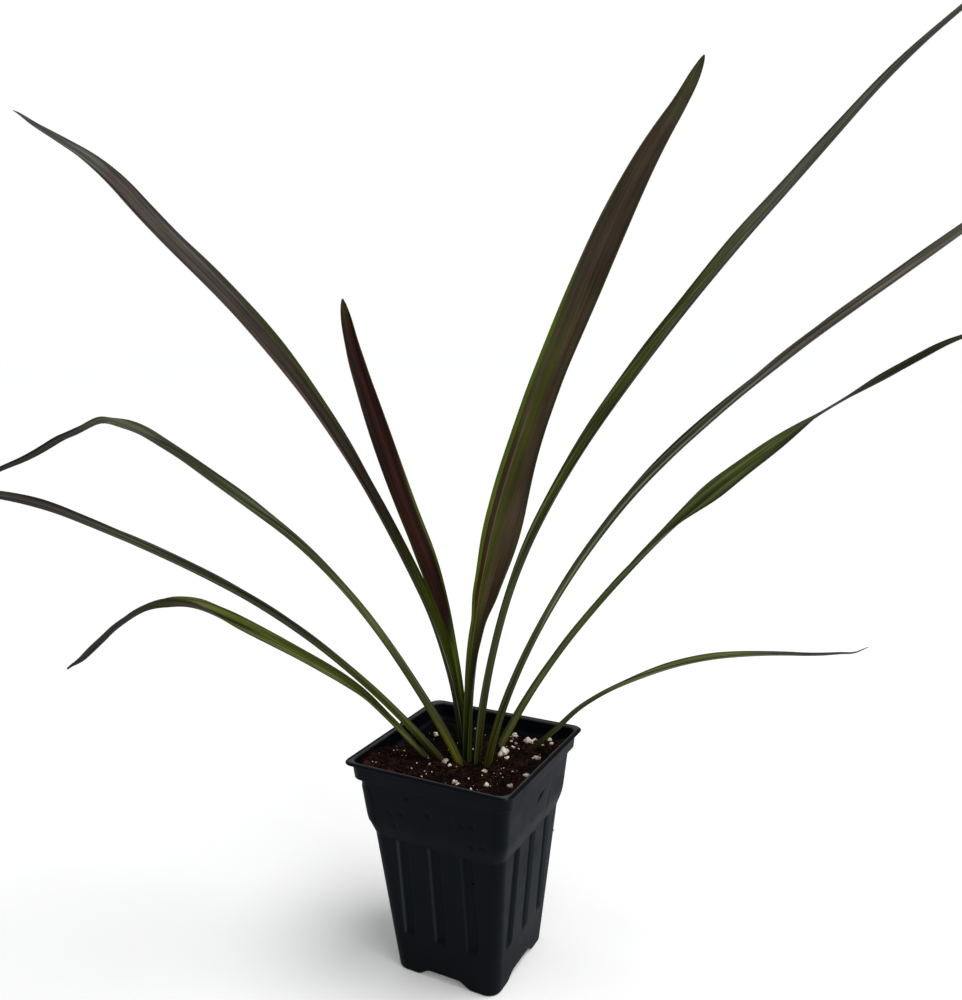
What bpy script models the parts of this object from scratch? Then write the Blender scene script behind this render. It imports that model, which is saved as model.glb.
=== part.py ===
"""Potted chocolate mint cordyline: ten strap leaves in a square nursery pot filled with peat.

Run with  blender --background --python part.py  or from the text editor.
Units are metres, +Z is up. The pot stands on z = 0 with its axis on the Z axis and its sides
square to X and Y. The leaves fan out on both sides along a line turned FAN_TURN from +X.
"""
import math
import random

import bmesh
import bpy
import numpy as np

MM = 0.001

# Driving sizes, millimetres and degrees
RIM_WIDTH = 100.0        # over the flange of the pot
POT_HEIGHT = 127.0
WALL = 1.0
BASE_WIDTH = 63.0
BODY_TOP_Z = 84.0        # where the fluted body ends
BODY_TOP_WIDTH = 79.2
SHOULDER_Z = 92.0        # end of the slant above the flutes
SHOULDER_WIDTH = 84.4
COLLAR_Z = 117.0         # underside of the collar
COLLAR_NECK_WIDTH = 89.4
COLLAR_WIDTH = 94.6
FLANGE_THICKNESS = 1.2
CORNER_RADIUS = 7.5
RIM_RADIUS = 6.0
CORNER_STEPS = 4
FLUTE_PITCH = 19.5
FLUTE_WIDTH = 7.0
FLUTE_DEPTH = 1.5
FLUTE_BOTTOM_Z = 24.0
FLUTE_FOOT = 5.0         # height over which a flute runs out at its lower end
FLUTE_HEAD = 3.0         # and at its upper end
FLOOR_Z = 6.0            # inside face of the pot's floor
ARCH_HEIGHT = 4.0
ARCH_WIDTH = 31.0        # at the ground
ARCH_TOP_WIDTH = 22.0
DRAIN_WIDTH = 8.0
DRAIN_RING = 19.0        # the four outer drain holes from the middle one

SOIL_Z = 117.0           # where the leaves leave the soil
SOIL_HUMP = 0.6          # the soil's middle above that, and its edge below
SOIL_EDGE_DROP = 1.8
SOIL_CORNER = 6.0
SOIL_GAP = 0.4           # between the soil and the pot's wall
SEAT_GAP = 0.3           # between pieces that rest on each other
CROWN_TOP_Z = 113.5
CROWN_HEIGHT = 10.0
CROWN_SPOT = (4.4, 0.0)  # along and across the fan
CROWN_RADII = (10.8, 9.5)

FAN_TURN = 28.0
HOLE_RADIUS = 4.3
HOLE_DEPTH = 8.0         # for the leaves that stand clear of the crown
CROWN_HOLE_DEPTH = 5.5   # for the leaves that stand on the crown
HOLE_OVER = 6.0          # how far the holes' cutters stand out above the soil

FOOT_RIB = 1.15          # thickness of a leaf at its rib: at the foot, where the blade starts, tip
BLADE_RIB = 0.9
TIP_RIB = 0.7
EDGE_THICKNESS = 0.6
TIP_HALF_WIDTH = 0.5

RIGHT = 1
LEFT = -1

# Each leaf: spot on the soil as (along, across) the fan; length of the rib from soil to tip;
# pitch = rise of the rib at even steps from soil to tip; away = how far it points behind the
# fan's plane at the soil and at the tip; roll = turn about its own rib; half = half width of
# the stalk and of the blade; swell = where along it the blade starts and is widest;
# fold = rise of each half of the blade from flat, at even steps; skin = colour.
LEAVES = (
    dict(name="leaf_low_left", side=LEFT, spot=(-22.7, 3.8), length=232.0, step=8.5,
         pitch=(55, 52.5, 47, 39, 35, 35.5, 33, -11.5, -46.5, -35.5), away=(-30, -14),
         roll=(-5, -6, 13, 25, 34, 32, 27, 4, -57), half=(3.6, 7.5), swell=(0.10, 0.45),
         fold=(62, 51, 32, 29, 28, 40, 38, 29), skin=(0.13, 0.18, 0.03)),
    dict(name="leaf_left_lower", side=LEFT, spot=(-13.4, -2.1), length=334.5, step=11.0,
         pitch=(55, 49, 43.5, 35.5, 29.5, 26.5, 7, -15), away=(-12, -12),
         roll=(0, 10, 11, 13, 13, 12, 22, 10, 10), half=(4.4, 8.1), swell=(0.25, 0.62),
         fold=(64, 57, 49, 41, 32, 27, 31, 35), skin=(0.07, 0.08, 0.035)),
    dict(name="leaf_left_bent", side=LEFT, spot=(-3.3, -6.5), length=377.5, step=9.5,
         pitch=(67.5, 60.5, 58, 52.5, 45.5, 36.5, 36, 35, 9, -33, -20, -25.5), away=(6, 12),
         roll=(0, 13, 18, 19, 8, 18, -14, -1, 5), half=(4.5, 8.3), swell=(0.25, 0.60),
         fold=(64, 57, 49, 40, 40, 26, 30, 34), skin=(0.075, 0.085, 0.035)),
    dict(name="leaf_left_tall", side=LEFT, spot=(-2.4, 6.5), length=479.0, step=11.0,
         pitch=(89.5, 77.5, 63.5, 61, 56.5, 51, 45, 41.5, 46, 30, 28), away=(17, 21),
         roll=(0, -22, -21, -15, -16, -13, -13, -17, -2), half=(5.3, 9.9), swell=(0.25, 0.62),
         fold=(54, 57, 46, 36, 31, 23, 28, 36), skin=(0.06, 0.05, 0.035)),
    dict(name="leaf_heart", side=LEFT, spot=(1.4, 5.3), length=263.5, step=10.0,
         pitch=(83, 83, 73.5, 68.5, 72, 73, 82), away=(14, 14),
         roll=(0, -25, -34, -62, -32, -48, -64, -67, -67), half=(2.4, 6.8), swell=(0.20, 0.50),
         fold=(60, 51, 32, 24, 25, 22, 19, 24), skin=(0.045, 0.018, 0.015)),
    dict(name="leaf_broad_upright", side=RIGHT, spot=(-0.1, -0.5), length=447.5, step=11.0,
         pitch=(89.5, 82.5, 70.5, 71, 64.5, 61, 59.5, 55, 48.5, 58), away=(34, 38),
         roll=(0, 31, 55, 30, 27, 44, 52, 55, 51), half=(4.4, 11.8), swell=(0.12, 0.30),
         fold=(65, 64, 25, 37, 32, 22, 28, 27), skin=(0.055, 0.045, 0.022)),
    dict(name="leaf_right_tall", side=RIGHT, spot=(4.8, -0.6), length=550.0, step=12.0,
         pitch=(85.5, 76, 62.5, 54, 50.5, 47, 47.5, 39, 34), away=(10, 6),
         roll=(0, -17, 33, 24, 8, 9, -3, -5, 1), half=(4.4, 8.6), swell=(0.22, 0.55),
         fold=(65, 58, 50, 40, 35, 33, 28, 35), skin=(0.05, 0.065, 0.025)),
    dict(name="leaf_right_upper", side=RIGHT, spot=(10.5, -4.8), length=432.0, step=11.0,
         pitch=(78, 67.5, 60, 52.5, 43, 40, 36, 37, 39), away=(-16, -18),
         roll=(0, 4, 2, -1, 5, -4, 2, 7, 5), half=(4.4, 8.8), swell=(0.25, 0.58),
         fold=(64, 55, 49, 41, 26, 36, 30, 35), skin=(0.065, 0.058, 0.045)),
    dict(name="leaf_right_twisted", side=RIGHT, spot=(18.5, 18.3), length=383.0, step=9.5,
         pitch=(63.5, 56.5, 49.5, 46, 39, 36, 34.5, 26, 27.5, 5.5), away=(7, 5),
         roll=(-2, -17, -31, -21, -61, -44, -7, 7, 21), half=(4.2, 8.2), swell=(0.25, 0.50),
         fold=(62, 58, 45, 34, 22, 12, -1, 22, 25), skin=(0.06, 0.09, 0.03)),
    dict(name="leaf_right_small", side=RIGHT, spot=(33.9, 10.6), length=199.5, step=9.0,
         pitch=(42.5, 47.5, 31.5, 23.5, 12, 5, 18), away=(-20, -26),
         roll=(-10, -10, -10, -12, 2, 2, -8, -9, -17), half=(2.6, 4.7), swell=(0.20, 0.45),
         fold=(60, 50, 34, 27, 25, 20, 14, 19), skin=(0.085, 0.1, 0.04)),
)
CROWN_LEAVES = ("leaf_left_bent", "leaf_left_tall", "leaf_heart", "leaf_broad_upright",
                "leaf_right_tall", "leaf_right_upper")

# The largest white grains on the soil: x, y and width
BIG_GRAINS = (
    (16.0, 13.5, 6.8), (-7.5, -16.0, 4.8), (20.0, 36.5, 5.1), (30.0, 38.0, 5.0), (36.5, 32.5, 4.0),
    (16.5, 21.5, 3.4), (34.5, 15.5, 4.6), (37.5, -4.0, 4.0), (35.5, -19.0, 4.0), (18.5, -12.5, 3.4),
    (-12.0, 38.5, 3.6), (-30.0, 19.0, 4.8), (8.0, -29.0, 3.4), (26.0, -25.0, 3.0), (-34.0, -14.0, 3.2),
)
ROUND_GRAIN = 4.0
SMALL_GRAINS = 22
SMALL_WIDTHS = (1.8, 3.0)
GRAIN_SEED = 17

SOIL_BROWN = (0.040, 0.020, 0.014)
POT_BLACK = (0.018, 0.019, 0.020)
STEM_BROWN = (0.070, 0.045, 0.020)


def clear_objects():
    for old in list(bpy.data.objects):
        bpy.data.objects.remove(old, do_unlink=True)


def new_collection(name):
    collection = bpy.data.collections.new(name)
    bpy.context.scene.collection.children.link(collection)
    return collection


def new_material(name, colour, roughness):
    material = bpy.data.materials.new(name)
    material.use_nodes = True
    shader = material.node_tree.nodes["Principled BSDF"]
    shader.inputs["Base Color"].default_value = (*colour, 1.0)
    shader.inputs["Roughness"].default_value = roughness
    shader.inputs["Metallic"].default_value = 0.0
    material.diffuse_color = (*colour, 1.0)
    return material


def new_object(name, mesh, collection, material=None, parent=None):
    piece = bpy.data.objects.new(name, mesh)
    collection.objects.link(piece)
    if material:
        mesh.materials.append(material)
    piece.parent = parent
    return piece


def new_cutter(name, mesh, collection, parent=None):
    cutter = new_object(name, mesh, collection, parent=parent)
    cutter.hide_render = True
    cutter.display_type = 'WIRE'
    return cutter


def mesh_from_bmesh(name, shape):
    bmesh.ops.recalc_face_normals(shape, faces=shape.faces)
    mesh = bpy.data.meshes.new(name)
    shape.to_mesh(mesh)
    shape.free()
    return mesh


def smooth(mesh, sharp_degrees):
    mesh.shade_smooth()
    mesh.set_sharp_from_angle(angle=math.radians(sharp_degrees))


def boolean(piece, collection, operation):
    cut = piece.modifiers.new(operation.lower(), 'BOOLEAN')
    cut.operation = operation
    cut.solver = 'EXACT'
    cut.operand_type = 'COLLECTION'
    cut.collection = collection


def ease(value):
    """0 to 1 with level ends."""
    value = min(max(value, 0.0), 1.0)
    return value * value * (3.0 - 2.0 * value)


# Pot: one thin moulded shell, lofted from rounded squares
def flute_depth(z):
    """How far the flutes are pressed in at height z; they run out over a few millimetres."""
    return FLUTE_DEPTH * ease((z - FLUTE_BOTTOM_Z) / FLUTE_FOOT) * ease((BODY_TOP_Z - z) / FLUTE_HEAD)


def rounded_square(width, radius, z, inset=0.0):
    """Points round a square with rounded corners, moved in by inset, with three flutes a side."""
    half = width / 2.0
    depth = flute_depth(z)
    ramp = FLUTE_WIDTH * 0.28
    side = []
    for step in (-1, 0, 1):
        for offset, dip in ((-FLUTE_WIDTH / 2.0, 0.0), (-FLUTE_WIDTH / 2.0 + ramp, depth),
                            (FLUTE_WIDTH / 2.0 - ramp, depth), (FLUTE_WIDTH / 2.0, 0.0)):
            side.append((half - inset - dip, step * FLUTE_PITCH + offset))
    points = []
    centre = half - radius
    for quarter in range(4):
        turn = math.radians(90.0 * quarter)
        corner = []
        for step in range(CORNER_STEPS + 1):
            angle = math.radians(90.0) * step / CORNER_STEPS
            corner.append((centre + (radius - inset) * math.cos(angle),
                           centre + (radius - inset) * math.sin(angle)))
        for x, y in side + corner:
            points.append((x * math.cos(turn) - y * math.sin(turn),
                           x * math.sin(turn) + y * math.cos(turn), z))
    return points


def body_width(z):
    """Outer width of the pot between its base and its collar."""
    if z <= BODY_TOP_Z:
        return BASE_WIDTH + (BODY_TOP_WIDTH - BASE_WIDTH) * z / BODY_TOP_Z
    if z <= SHOULDER_Z:
        share = (z - BODY_TOP_Z) / (SHOULDER_Z - BODY_TOP_Z)
        return BODY_TOP_WIDTH + (SHOULDER_WIDTH - BODY_TOP_WIDTH) * share
    share = (z - SHOULDER_Z) / (COLLAR_Z - SHOULDER_Z)
    return SHOULDER_WIDTH + (COLLAR_NECK_WIDTH - SHOULDER_WIDTH) * share


def pot_rings():
    """Rounded squares up the outside, over the flange and down the inside."""
    heights = (0.0, FLUTE_BOTTOM_Z, FLUTE_BOTTOM_Z + FLUTE_FOOT, BODY_TOP_Z - FLUTE_HEAD,
               BODY_TOP_Z, SHOULDER_Z, COLLAR_Z)
    under_flange = POT_HEIGHT - FLANGE_THICKNESS
    rings = [rounded_square(body_width(z), CORNER_RADIUS, z) for z in heights]
    rings.append(rounded_square(COLLAR_WIDTH - 1.2, CORNER_RADIUS, COLLAR_Z + 0.2))
    rings.append(rounded_square(COLLAR_WIDTH, CORNER_RADIUS, COLLAR_Z + 1.2))
    rings.append(rounded_square(COLLAR_WIDTH + 0.8, CORNER_RADIUS, under_flange))
    rings.append(rounded_square(RIM_WIDTH - 0.6, RIM_RADIUS, under_flange))
    rings.append(rounded_square(RIM_WIDTH, RIM_RADIUS, under_flange + 0.4))
    rings.append(rounded_square(RIM_WIDTH - 0.6, RIM_RADIUS, POT_HEIGHT))
    rings.append(rounded_square(COLLAR_WIDTH, CORNER_RADIUS, POT_HEIGHT, inset=WALL * 0.6))
    rings.append(rounded_square(COLLAR_WIDTH + 0.6, CORNER_RADIUS, POT_HEIGHT - 1.6, inset=WALL))
    rings.append(rounded_square(COLLAR_WIDTH, CORNER_RADIUS, COLLAR_Z + 1.6, inset=WALL))
    for z in reversed(heights[1:]):
        rings.append(rounded_square(body_width(z), CORNER_RADIUS, z, inset=WALL))
    rings.append(rounded_square(body_width(FLOOR_Z), CORNER_RADIUS, FLOOR_Z, inset=WALL))
    return rings


def loft(rings, open_top=False):
    """One solid through rings of equal counts, closed by a flat face at each end."""
    shape = bmesh.new()
    rows = [[shape.verts.new([c * MM for c in point]) for point in ring] for ring in rings]
    count = len(rows[0])
    for low, high in zip(rows, rows[1:]):
        for k in range(count):
            n = (k + 1) % count
            shape.faces.new((low[k], low[n], high[n], high[k]))
    shape.faces.new(list(reversed(rows[0])))
    if not open_top:
        shape.faces.new(rows[-1])
    return shape


def arch_bar(name, collection, turn):
    """Long bar with sloping sides that opens the arch between two pairs of feet."""
    shape = bmesh.new()
    bmesh.ops.create_cube(shape, size=1.0)
    for vert in shape.verts:
        top = vert.co.z > 0
        vert.co.x *= (ARCH_TOP_WIDTH if top else ARCH_WIDTH) * MM
        vert.co.y *= RIM_WIDTH * MM
        vert.co.z = (ARCH_HEIGHT if top else -1.0) * MM
    bar = new_cutter(name, mesh_from_bmesh(name, shape), collection)
    bar.rotation_euler[2] = math.radians(turn)


def column(name, radius, length):
    """Plain round column centred on its own origin, along Z."""
    shape = bmesh.new()
    bmesh.ops.create_cone(shape, cap_ends=True, segments=16, radius1=radius * MM,
                          radius2=radius * MM, depth=length * MM)
    return mesh_from_bmesh(name, shape)


def drain_cutter(name, collection, x, y):
    cutter = new_cutter(name, column(name, DRAIN_WIDTH / 2.0, 2.0 * FLOOR_Z), collection)
    cutter.location = (x * MM, y * MM, FLOOR_Z / 2.0 * MM)


def build_pot(collection, cutters):
    mesh = mesh_from_bmesh("pot", loft(pot_rings()))
    smooth(mesh, 28.0)
    pot = new_object("pot", mesh, collection, new_material("black_pot", POT_BLACK, 0.38))
    arch_bar("arch_front_back", cutters, 0.0)
    arch_bar("arch_left_right", cutters, 90.0)
    drain_cutter("drain_middle", cutters, 0.0, 0.0)
    for index in range(4):
        angle = math.radians(90.0 * index)
        drain_cutter(f"drain_{index + 1}", cutters, DRAIN_RING * math.cos(angle),
                     DRAIN_RING * math.sin(angle))
    boolean(pot, cutters, 'DIFFERENCE')


# Soil: a plug that follows the inside of the pot, with a crumbly top and raised grains
def soil_height(x, y):
    """Uneven surface, lower and plainer towards the walls: three slow waves a millimetre high."""
    waves = 0.55 * math.sin(x * 0.31 + 1.3) * math.cos(y * 0.27 - 0.7)
    waves += 0.40 * math.sin(x * 0.16 - y * 0.36) + 0.25 * math.cos(x * 0.41 + y * 0.19 + 2.0)
    edge = max(abs(x), abs(y)) / (COLLAR_NECK_WIDTH / 2.0)
    waves *= 1.0 - ease((edge - 0.8) / 0.2)
    return SOIL_Z + SOIL_HUMP + waves - SOIL_EDGE_DROP * ease((edge - 0.55) / 0.45)


def plain_square(width, radius, z, side_steps=7):
    """Rounded square with evenly spaced points along its sides."""
    half = width / 2.0
    centre = half - radius
    points = []
    for quarter in range(4):
        turn = math.radians(90.0 * quarter)
        side = [(half, -centre + 2.0 * centre * (k + 0.5) / side_steps) for k in range(side_steps)]
        for step in range(CORNER_STEPS + 1):
            angle = math.radians(90.0) * step / CORNER_STEPS
            side.append((centre + radius * math.cos(angle), centre + radius * math.sin(angle)))
        for x, y in side:
            points.append((x * math.cos(turn) - y * math.sin(turn),
                           x * math.sin(turn) + y * math.cos(turn), z))
    return points


def edge_position(u, v, cells):
    """Steps round a square grid's edge, from its lower right corner, to the point behind (u, v)."""
    reach = max(abs(u), abs(v))
    if u >= reach and v < reach:
        return (v / reach + 1.0) / 2.0 * cells
    if v >= reach and u > -reach:
        return cells + (1.0 - u / reach) / 2.0 * cells
    if u <= -reach and v > -reach:
        return 2 * cells + (1.0 - v / reach) / 2.0 * cells
    return 3 * cells + (u / reach + 1.0) / 2.0 * cells


def soil_block():
    """Walls lofted up the inside of the pot, closed by a grid of squares drawn in from the top ring."""
    gap = 2.0 * (WALL + SOIL_GAP)
    flutes = 2.0 * FLUTE_DEPTH
    low, brim = FLOOR_Z + SEAT_GAP, SOIL_Z + SOIL_HUMP - SOIL_EDGE_DROP
    rings = [plain_square(body_width(low) - gap - flutes, SOIL_CORNER, low),
             plain_square(body_width(BODY_TOP_Z) - gap - flutes, SOIL_CORNER, BODY_TOP_Z),
             plain_square(SHOULDER_WIDTH - gap, SOIL_CORNER, SHOULDER_Z + 1.0),
             plain_square(body_width(brim) - gap, SOIL_CORNER, brim)]
    count = len(rings[-1])
    cells = count // 4
    corner = CORNER_STEPS // 2 + 1
    edge = [rings[-1][(k - corner) % count] for k in range(count)]
    shape = loft(rings, open_top=True)
    shape.verts.ensure_lookup_table()
    top_row = shape.verts[-count:]
    grid = {}
    for i in range(cells + 1):
        for j in range(cells + 1):
            u, v = 2.0 * i / cells - 1.0, 2.0 * j / cells - 1.0
            reach = max(abs(u), abs(v))
            place = edge_position(u, v, cells) if reach > 0.0 else 0.0
            if i in (0, cells) or j in (0, cells):
                grid[i, j] = top_row[(round(place) - corner) % count]
                continue
            before, share = int(place), place - int(place)
            x, y = ((1.0 - share) * edge[before % count][axis]
                    + share * edge[(before + 1) % count][axis] for axis in (0, 1))
            grid[i, j] = shape.verts.new((x * reach * MM, y * reach * MM,
                                          soil_height(x * reach, y * reach) * MM))
    for i in range(cells):
        for j in range(cells):
            shape.faces.new((grid[i, j], grid[i + 1, j], grid[i + 1, j + 1]))
            shape.faces.new((grid[i, j], grid[i + 1, j + 1], grid[i, j + 1]))
    return shape


def grain(name, collection, x, y, width, seed):
    """Irregular rounded lump, sunk halfway into the soil; the wider ones are rounder."""
    draw = random.Random(seed)
    shape = bmesh.new()
    bmesh.ops.create_icosphere(shape, subdivisions=2 if width >= ROUND_GRAIN else 1, radius=1.0)
    stretch = (draw.uniform(0.85, 1.15), draw.uniform(0.85, 1.15), draw.uniform(0.75, 0.95))
    for vert in shape.verts:
        bump = 1.0 + draw.uniform(-0.07, 0.07)
        for axis in range(3):
            vert.co[axis] *= stretch[axis] * bump * width / 2.0 * MM
    lump = new_object(name, mesh_from_bmesh(name, shape), collection)
    lump.location = (x * MM, y * MM, (soil_height(x, y) + width * 0.06) * MM)
    lump.rotation_euler[2] = draw.uniform(0.0, 2.0 * math.pi)


def leaf_spot(leaf):
    """Where the leaf leaves the soil, in the pot's own axes."""
    along, across = leaf["spot"]
    turn = math.radians(FAN_TURN)
    return (along * math.cos(turn) - across * math.sin(turn),
            along * math.sin(turn) + across * math.cos(turn))


def clear_of_leaves(x, y, width):
    """True where a grain misses each leaf's hole, at the soil and a grain's height above it."""
    room = width / 2.0 + HOLE_RADIUS + 0.6
    for leaf in LEAVES:
        spot = leaf_spot(leaf)
        heading = leaf_heading(leaf, 0.0) + math.radians(FAN_TURN)
        for height in (0.0, 1.75, 3.5):
            lean = height / math.tan(math.radians(leaf["pitch"][0]))
            near = spot[0] + math.cos(heading) * lean, spot[1] + math.sin(heading) * lean
            if math.hypot(x - near[0], y - near[1]) < room:
                return False
    return True


def grain_places():
    """The big grains, then small ones drawn at random clear of the leaves and the walls."""
    draw = random.Random(GRAIN_SEED)
    places = list(BIG_GRAINS)
    reach = COLLAR_NECK_WIDTH / 2.0 - SOIL_CORNER
    while len(places) < len(BIG_GRAINS) + SMALL_GRAINS:
        x, y = draw.uniform(-reach, reach), draw.uniform(-reach, reach)
        width = draw.uniform(*SMALL_WIDTHS)
        apart = all(math.hypot(x - px, y - py) > (width + pw) / 2.0 + 0.8 for px, py, pw in places)
        if apart and clear_of_leaves(x, y, width):
            places.append((x, y, width))
    return places


def tilted_hole(name, collection, parent, leaf, depth):
    """Round hole along the leaf's foot, open at the soil's surface."""
    pitch, heading = math.radians(leaf["pitch"][0]), leaf_heading(leaf, 0.0)
    middle = np.array([*leaf["spot"], SOIL_Z]) + leaf_direction(leaf, 0.0) * (HOLE_OVER - depth) / 2.0
    hole = new_cutter(name, column(name, HOLE_RADIUS, depth + HOLE_OVER), collection, parent)
    hole.location = middle * MM
    hole.rotation_euler = (0.0, math.radians(90.0) - pitch, heading)


def build_soil(collection, cutters, plant):
    mesh = mesh_from_bmesh("soil", soil_block())
    soil = new_object("soil", mesh, collection, new_material("peat", SOIL_BROWN, 0.95))
    lumps = new_collection("grains")
    for index, (x, y, width) in enumerate(grain_places()):
        grain(f"grain_{index}", lumps, x, y, width, GRAIN_SEED + index)
    boolean(soil, lumps, 'UNION')
    bpy.context.view_layer.update()
    evaluated = soil.evaluated_get(bpy.context.evaluated_depsgraph_get())
    joined = bpy.data.meshes.new_from_object(evaluated)
    soil.modifiers.clear()
    soil.data = joined
    for lump in list(lumps.objects):
        bpy.data.objects.remove(lump, do_unlink=True)
    bpy.data.collections.remove(lumps)
    for leaf in LEAVES:
        depth = CROWN_HOLE_DEPTH if leaf["name"] in CROWN_LEAVES else HOLE_DEPTH + SEAT_GAP
        tilted_hole("hole_" + leaf["name"], cutters, plant, leaf, depth)
    crown_hole(cutters, plant)
    boolean(soil, cutters, 'DIFFERENCE')


# Crown: the short stem in the soil that the middle leaves stand on
def oval_column(name, radii, low, high):
    """Upright column with an oval section, standing at the middle of the crown."""
    shape = bmesh.new()
    bmesh.ops.create_cone(shape, cap_ends=True, segments=28, radius1=1.0, radius2=1.0, depth=1.0)
    for vert in shape.verts:
        vert.co.x = (vert.co.x * radii[0] + CROWN_SPOT[0]) * MM
        vert.co.y = (vert.co.y * radii[1] + CROWN_SPOT[1]) * MM
        vert.co.z = (high if vert.co.z > 0 else low) * MM
    return mesh_from_bmesh(name, shape)


def crown_hole(cutters, plant):
    """Oval hollow round the feet of the middle leaves."""
    radii = [radius + SOIL_GAP for radius in CROWN_RADII]
    low = CROWN_TOP_Z - CROWN_HEIGHT - SEAT_GAP
    column_mesh = oval_column("hole_crown", radii, low, SOIL_Z + HOLE_OVER)
    new_cutter("hole_crown", column_mesh, cutters, plant)


def build_crown(collection, plant):
    mesh = oval_column("crown", CROWN_RADII, CROWN_TOP_Z - CROWN_HEIGHT, CROWN_TOP_Z)
    bark = new_material("dark_stem", STEM_BROWN, 0.8)
    crown = new_object("crown", mesh, collection, bark, plant)
    round_edge = crown.modifiers.new("round_edge", 'BEVEL')
    round_edge.width = 1.2 * MM
    round_edge.segments = 2
    round_edge.limit_method = 'ANGLE'
    round_edge.angle_limit = math.radians(50.0)


# Leaves: closed blades swept along a rib whose pitch, heading and roll change from soil to tip
def at(stations, share):
    """Value at a share of the length, from stations at even steps."""
    return float(np.interp(share, np.linspace(0.0, 1.0, len(stations)), stations))


def leaf_heading(leaf, share):
    away = math.radians(at(leaf["away"], share))
    return away if leaf["side"] == RIGHT else math.pi - away


def leaf_direction(leaf, share):
    pitch, heading = math.radians(at(leaf["pitch"], share)), leaf_heading(leaf, share)
    return np.array([math.cos(pitch) * math.cos(heading), math.cos(pitch) * math.sin(heading),
                     math.sin(pitch)])


def leaf_frame(leaf, share):
    """Direction of growth, direction across the blade, and the upper face's normal."""
    forward = leaf_direction(leaf, share)
    heading, roll = leaf_heading(leaf, share), math.radians(at(leaf["roll"], share))
    level = np.array([-math.sin(heading), math.cos(heading), 0.0])
    upper = np.cross(forward, level)
    across = level * math.cos(roll) + upper * math.sin(roll)
    return forward, across, np.cross(forward, across)


def leaf_half_width(leaf, share):
    """Stalk, swelling into the blade, then running out to the point."""
    stalk, blade = leaf["half"]
    start, widest = leaf["swell"]
    half = stalk + (blade - stalk) * ease((share - start) / (widest - start))
    if share > widest:
        run = (share - widest) / (1.0 - widest)
        half *= max(1.0 - run ** 2.2, 0.0) ** 0.65
    return max(half, TIP_HALF_WIDTH)


def leaf_section(leaf, share):
    """Folded blade in section: points (across, up) of the upper face and of the lower face.

    The fold is a rounded V; soft rounds its bottom, and the lower face lies square below.
    """
    half = leaf_half_width(leaf, share)
    fold = math.radians(at(leaf["fold"], share))
    soft = 0.25
    rib = float(np.interp(share, (0.0, 0.3, 1.0), (FOOT_RIB, BLADE_RIB, TIP_RIB)))
    upper, lower = [], []
    for across in (-1.0, -0.55, 0.0, 0.55, 1.0):
        bend = math.hypot(across, soft)
        rise = math.sin(fold) * (bend - soft - 0.4)
        slope = math.sin(fold) * across / bend
        length = math.hypot(slope, math.cos(fold))
        thick = rib + (EDGE_THICKNESS - rib) * abs(across) ** 1.5
        x, y = half * math.cos(fold) * across, half * rise
        upper.append((x, y))
        lower.append((x + slope / length * thick, y - math.cos(fold) / length * thick))
    return upper, lower


def leaf_rings(leaf):
    """Rings of points from the foot to the tip; the foot starts below the soil."""
    on_crown = leaf["name"] in CROWN_LEAVES
    first = leaf_direction(leaf, 0.0)
    spot = np.array([*leaf["spot"], SOIL_Z])
    foot_z = CROWN_TOP_Z + SEAT_GAP
    sink = (SOIL_Z - foot_z) / first[2] if on_crown else HOLE_DEPTH
    count = round(leaf["length"] / leaf["step"])
    fine = 12
    point = spot.copy()
    stops = [(spot - first * sink, 0.0)]
    if not on_crown:
        stops.append((spot - first * sink * 0.4, 0.0))
    for index in range(count * fine):
        if index % fine == 0:
            stops.append((point.copy(), index / (count * fine)))
        middle = (index + 0.5) / (count * fine)
        point = point + leaf_direction(leaf, middle) * leaf["length"] / (count * fine)
    stops.append((point, 1.0))
    rings = []
    for number, (centre, share) in enumerate(stops):
        forward, across, up = leaf_frame(leaf, share)
        upper, lower = leaf_section(leaf, share)
        ring = [centre + across * x + up * y for x, y in upper + lower[::-1]]
        if number == 0 and on_crown:
            ring = [p + forward * (foot_z - p[2]) / forward[2] for p in ring]
        rings.append(ring)
    return rings


def blade(rings):
    """Closed blade: both faces are split along the same diagonals, so they never cross."""
    shape = bmesh.new()
    rows = [[shape.verts.new([float(c) * MM for c in point]) for point in ring] for ring in rings]
    last = len(rows[0]) - 1
    half = len(rows[0]) // 2
    for low, high in zip(rows, rows[1:]):
        for k in range(half - 1):
            a, b = low[k], low[k + 1]
            c, d = high[k + 1], high[k]
            shape.faces.new((a, c, b))
            shape.faces.new((a, d, c))
            a, b = low[last - k], low[last - k - 1]
            c, d = high[last - k - 1], high[last - k]
            shape.faces.new((a, b, c))
            shape.faces.new((a, c, d))
        for k, n in ((half - 1, half), (last, 0)):
            shape.faces.new((low[k], high[k], high[n]))
            shape.faces.new((low[k], high[n], low[n]))
    for row in (rows[0], rows[-1]):
        for k in range(half - 1):
            shape.faces.new((row[k], row[k + 1], row[last - k - 1]))
            shape.faces.new((row[k], row[last - k - 1], row[last - k]))
    return shape


def build_leaf(leaf, collection, plant):
    mesh = mesh_from_bmesh(leaf["name"], blade(leaf_rings(leaf)))
    smooth(mesh, 50.0)
    skin = new_material(leaf["name"] + "_skin", leaf["skin"], 0.42)
    new_object(leaf["name"], mesh, collection, skin, plant)


clear_objects()
parts = new_collection("potted_chocolate_mint_cordyline")
pot_cutters = new_collection("pot_cutters")
soil_cutters = new_collection("soil_cutters")
plant_axis = bpy.data.objects.new("plant_axis", None)
plant_axis.rotation_euler[2] = math.radians(FAN_TURN)
parts.objects.link(plant_axis)
build_pot(parts, pot_cutters)
build_soil(parts, soil_cutters, plant_axis)
build_crown(parts, plant_axis)
for entry in LEAVES:
    build_leaf(entry, parts, plant_axis)
bpy.context.view_layer.update()
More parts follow.
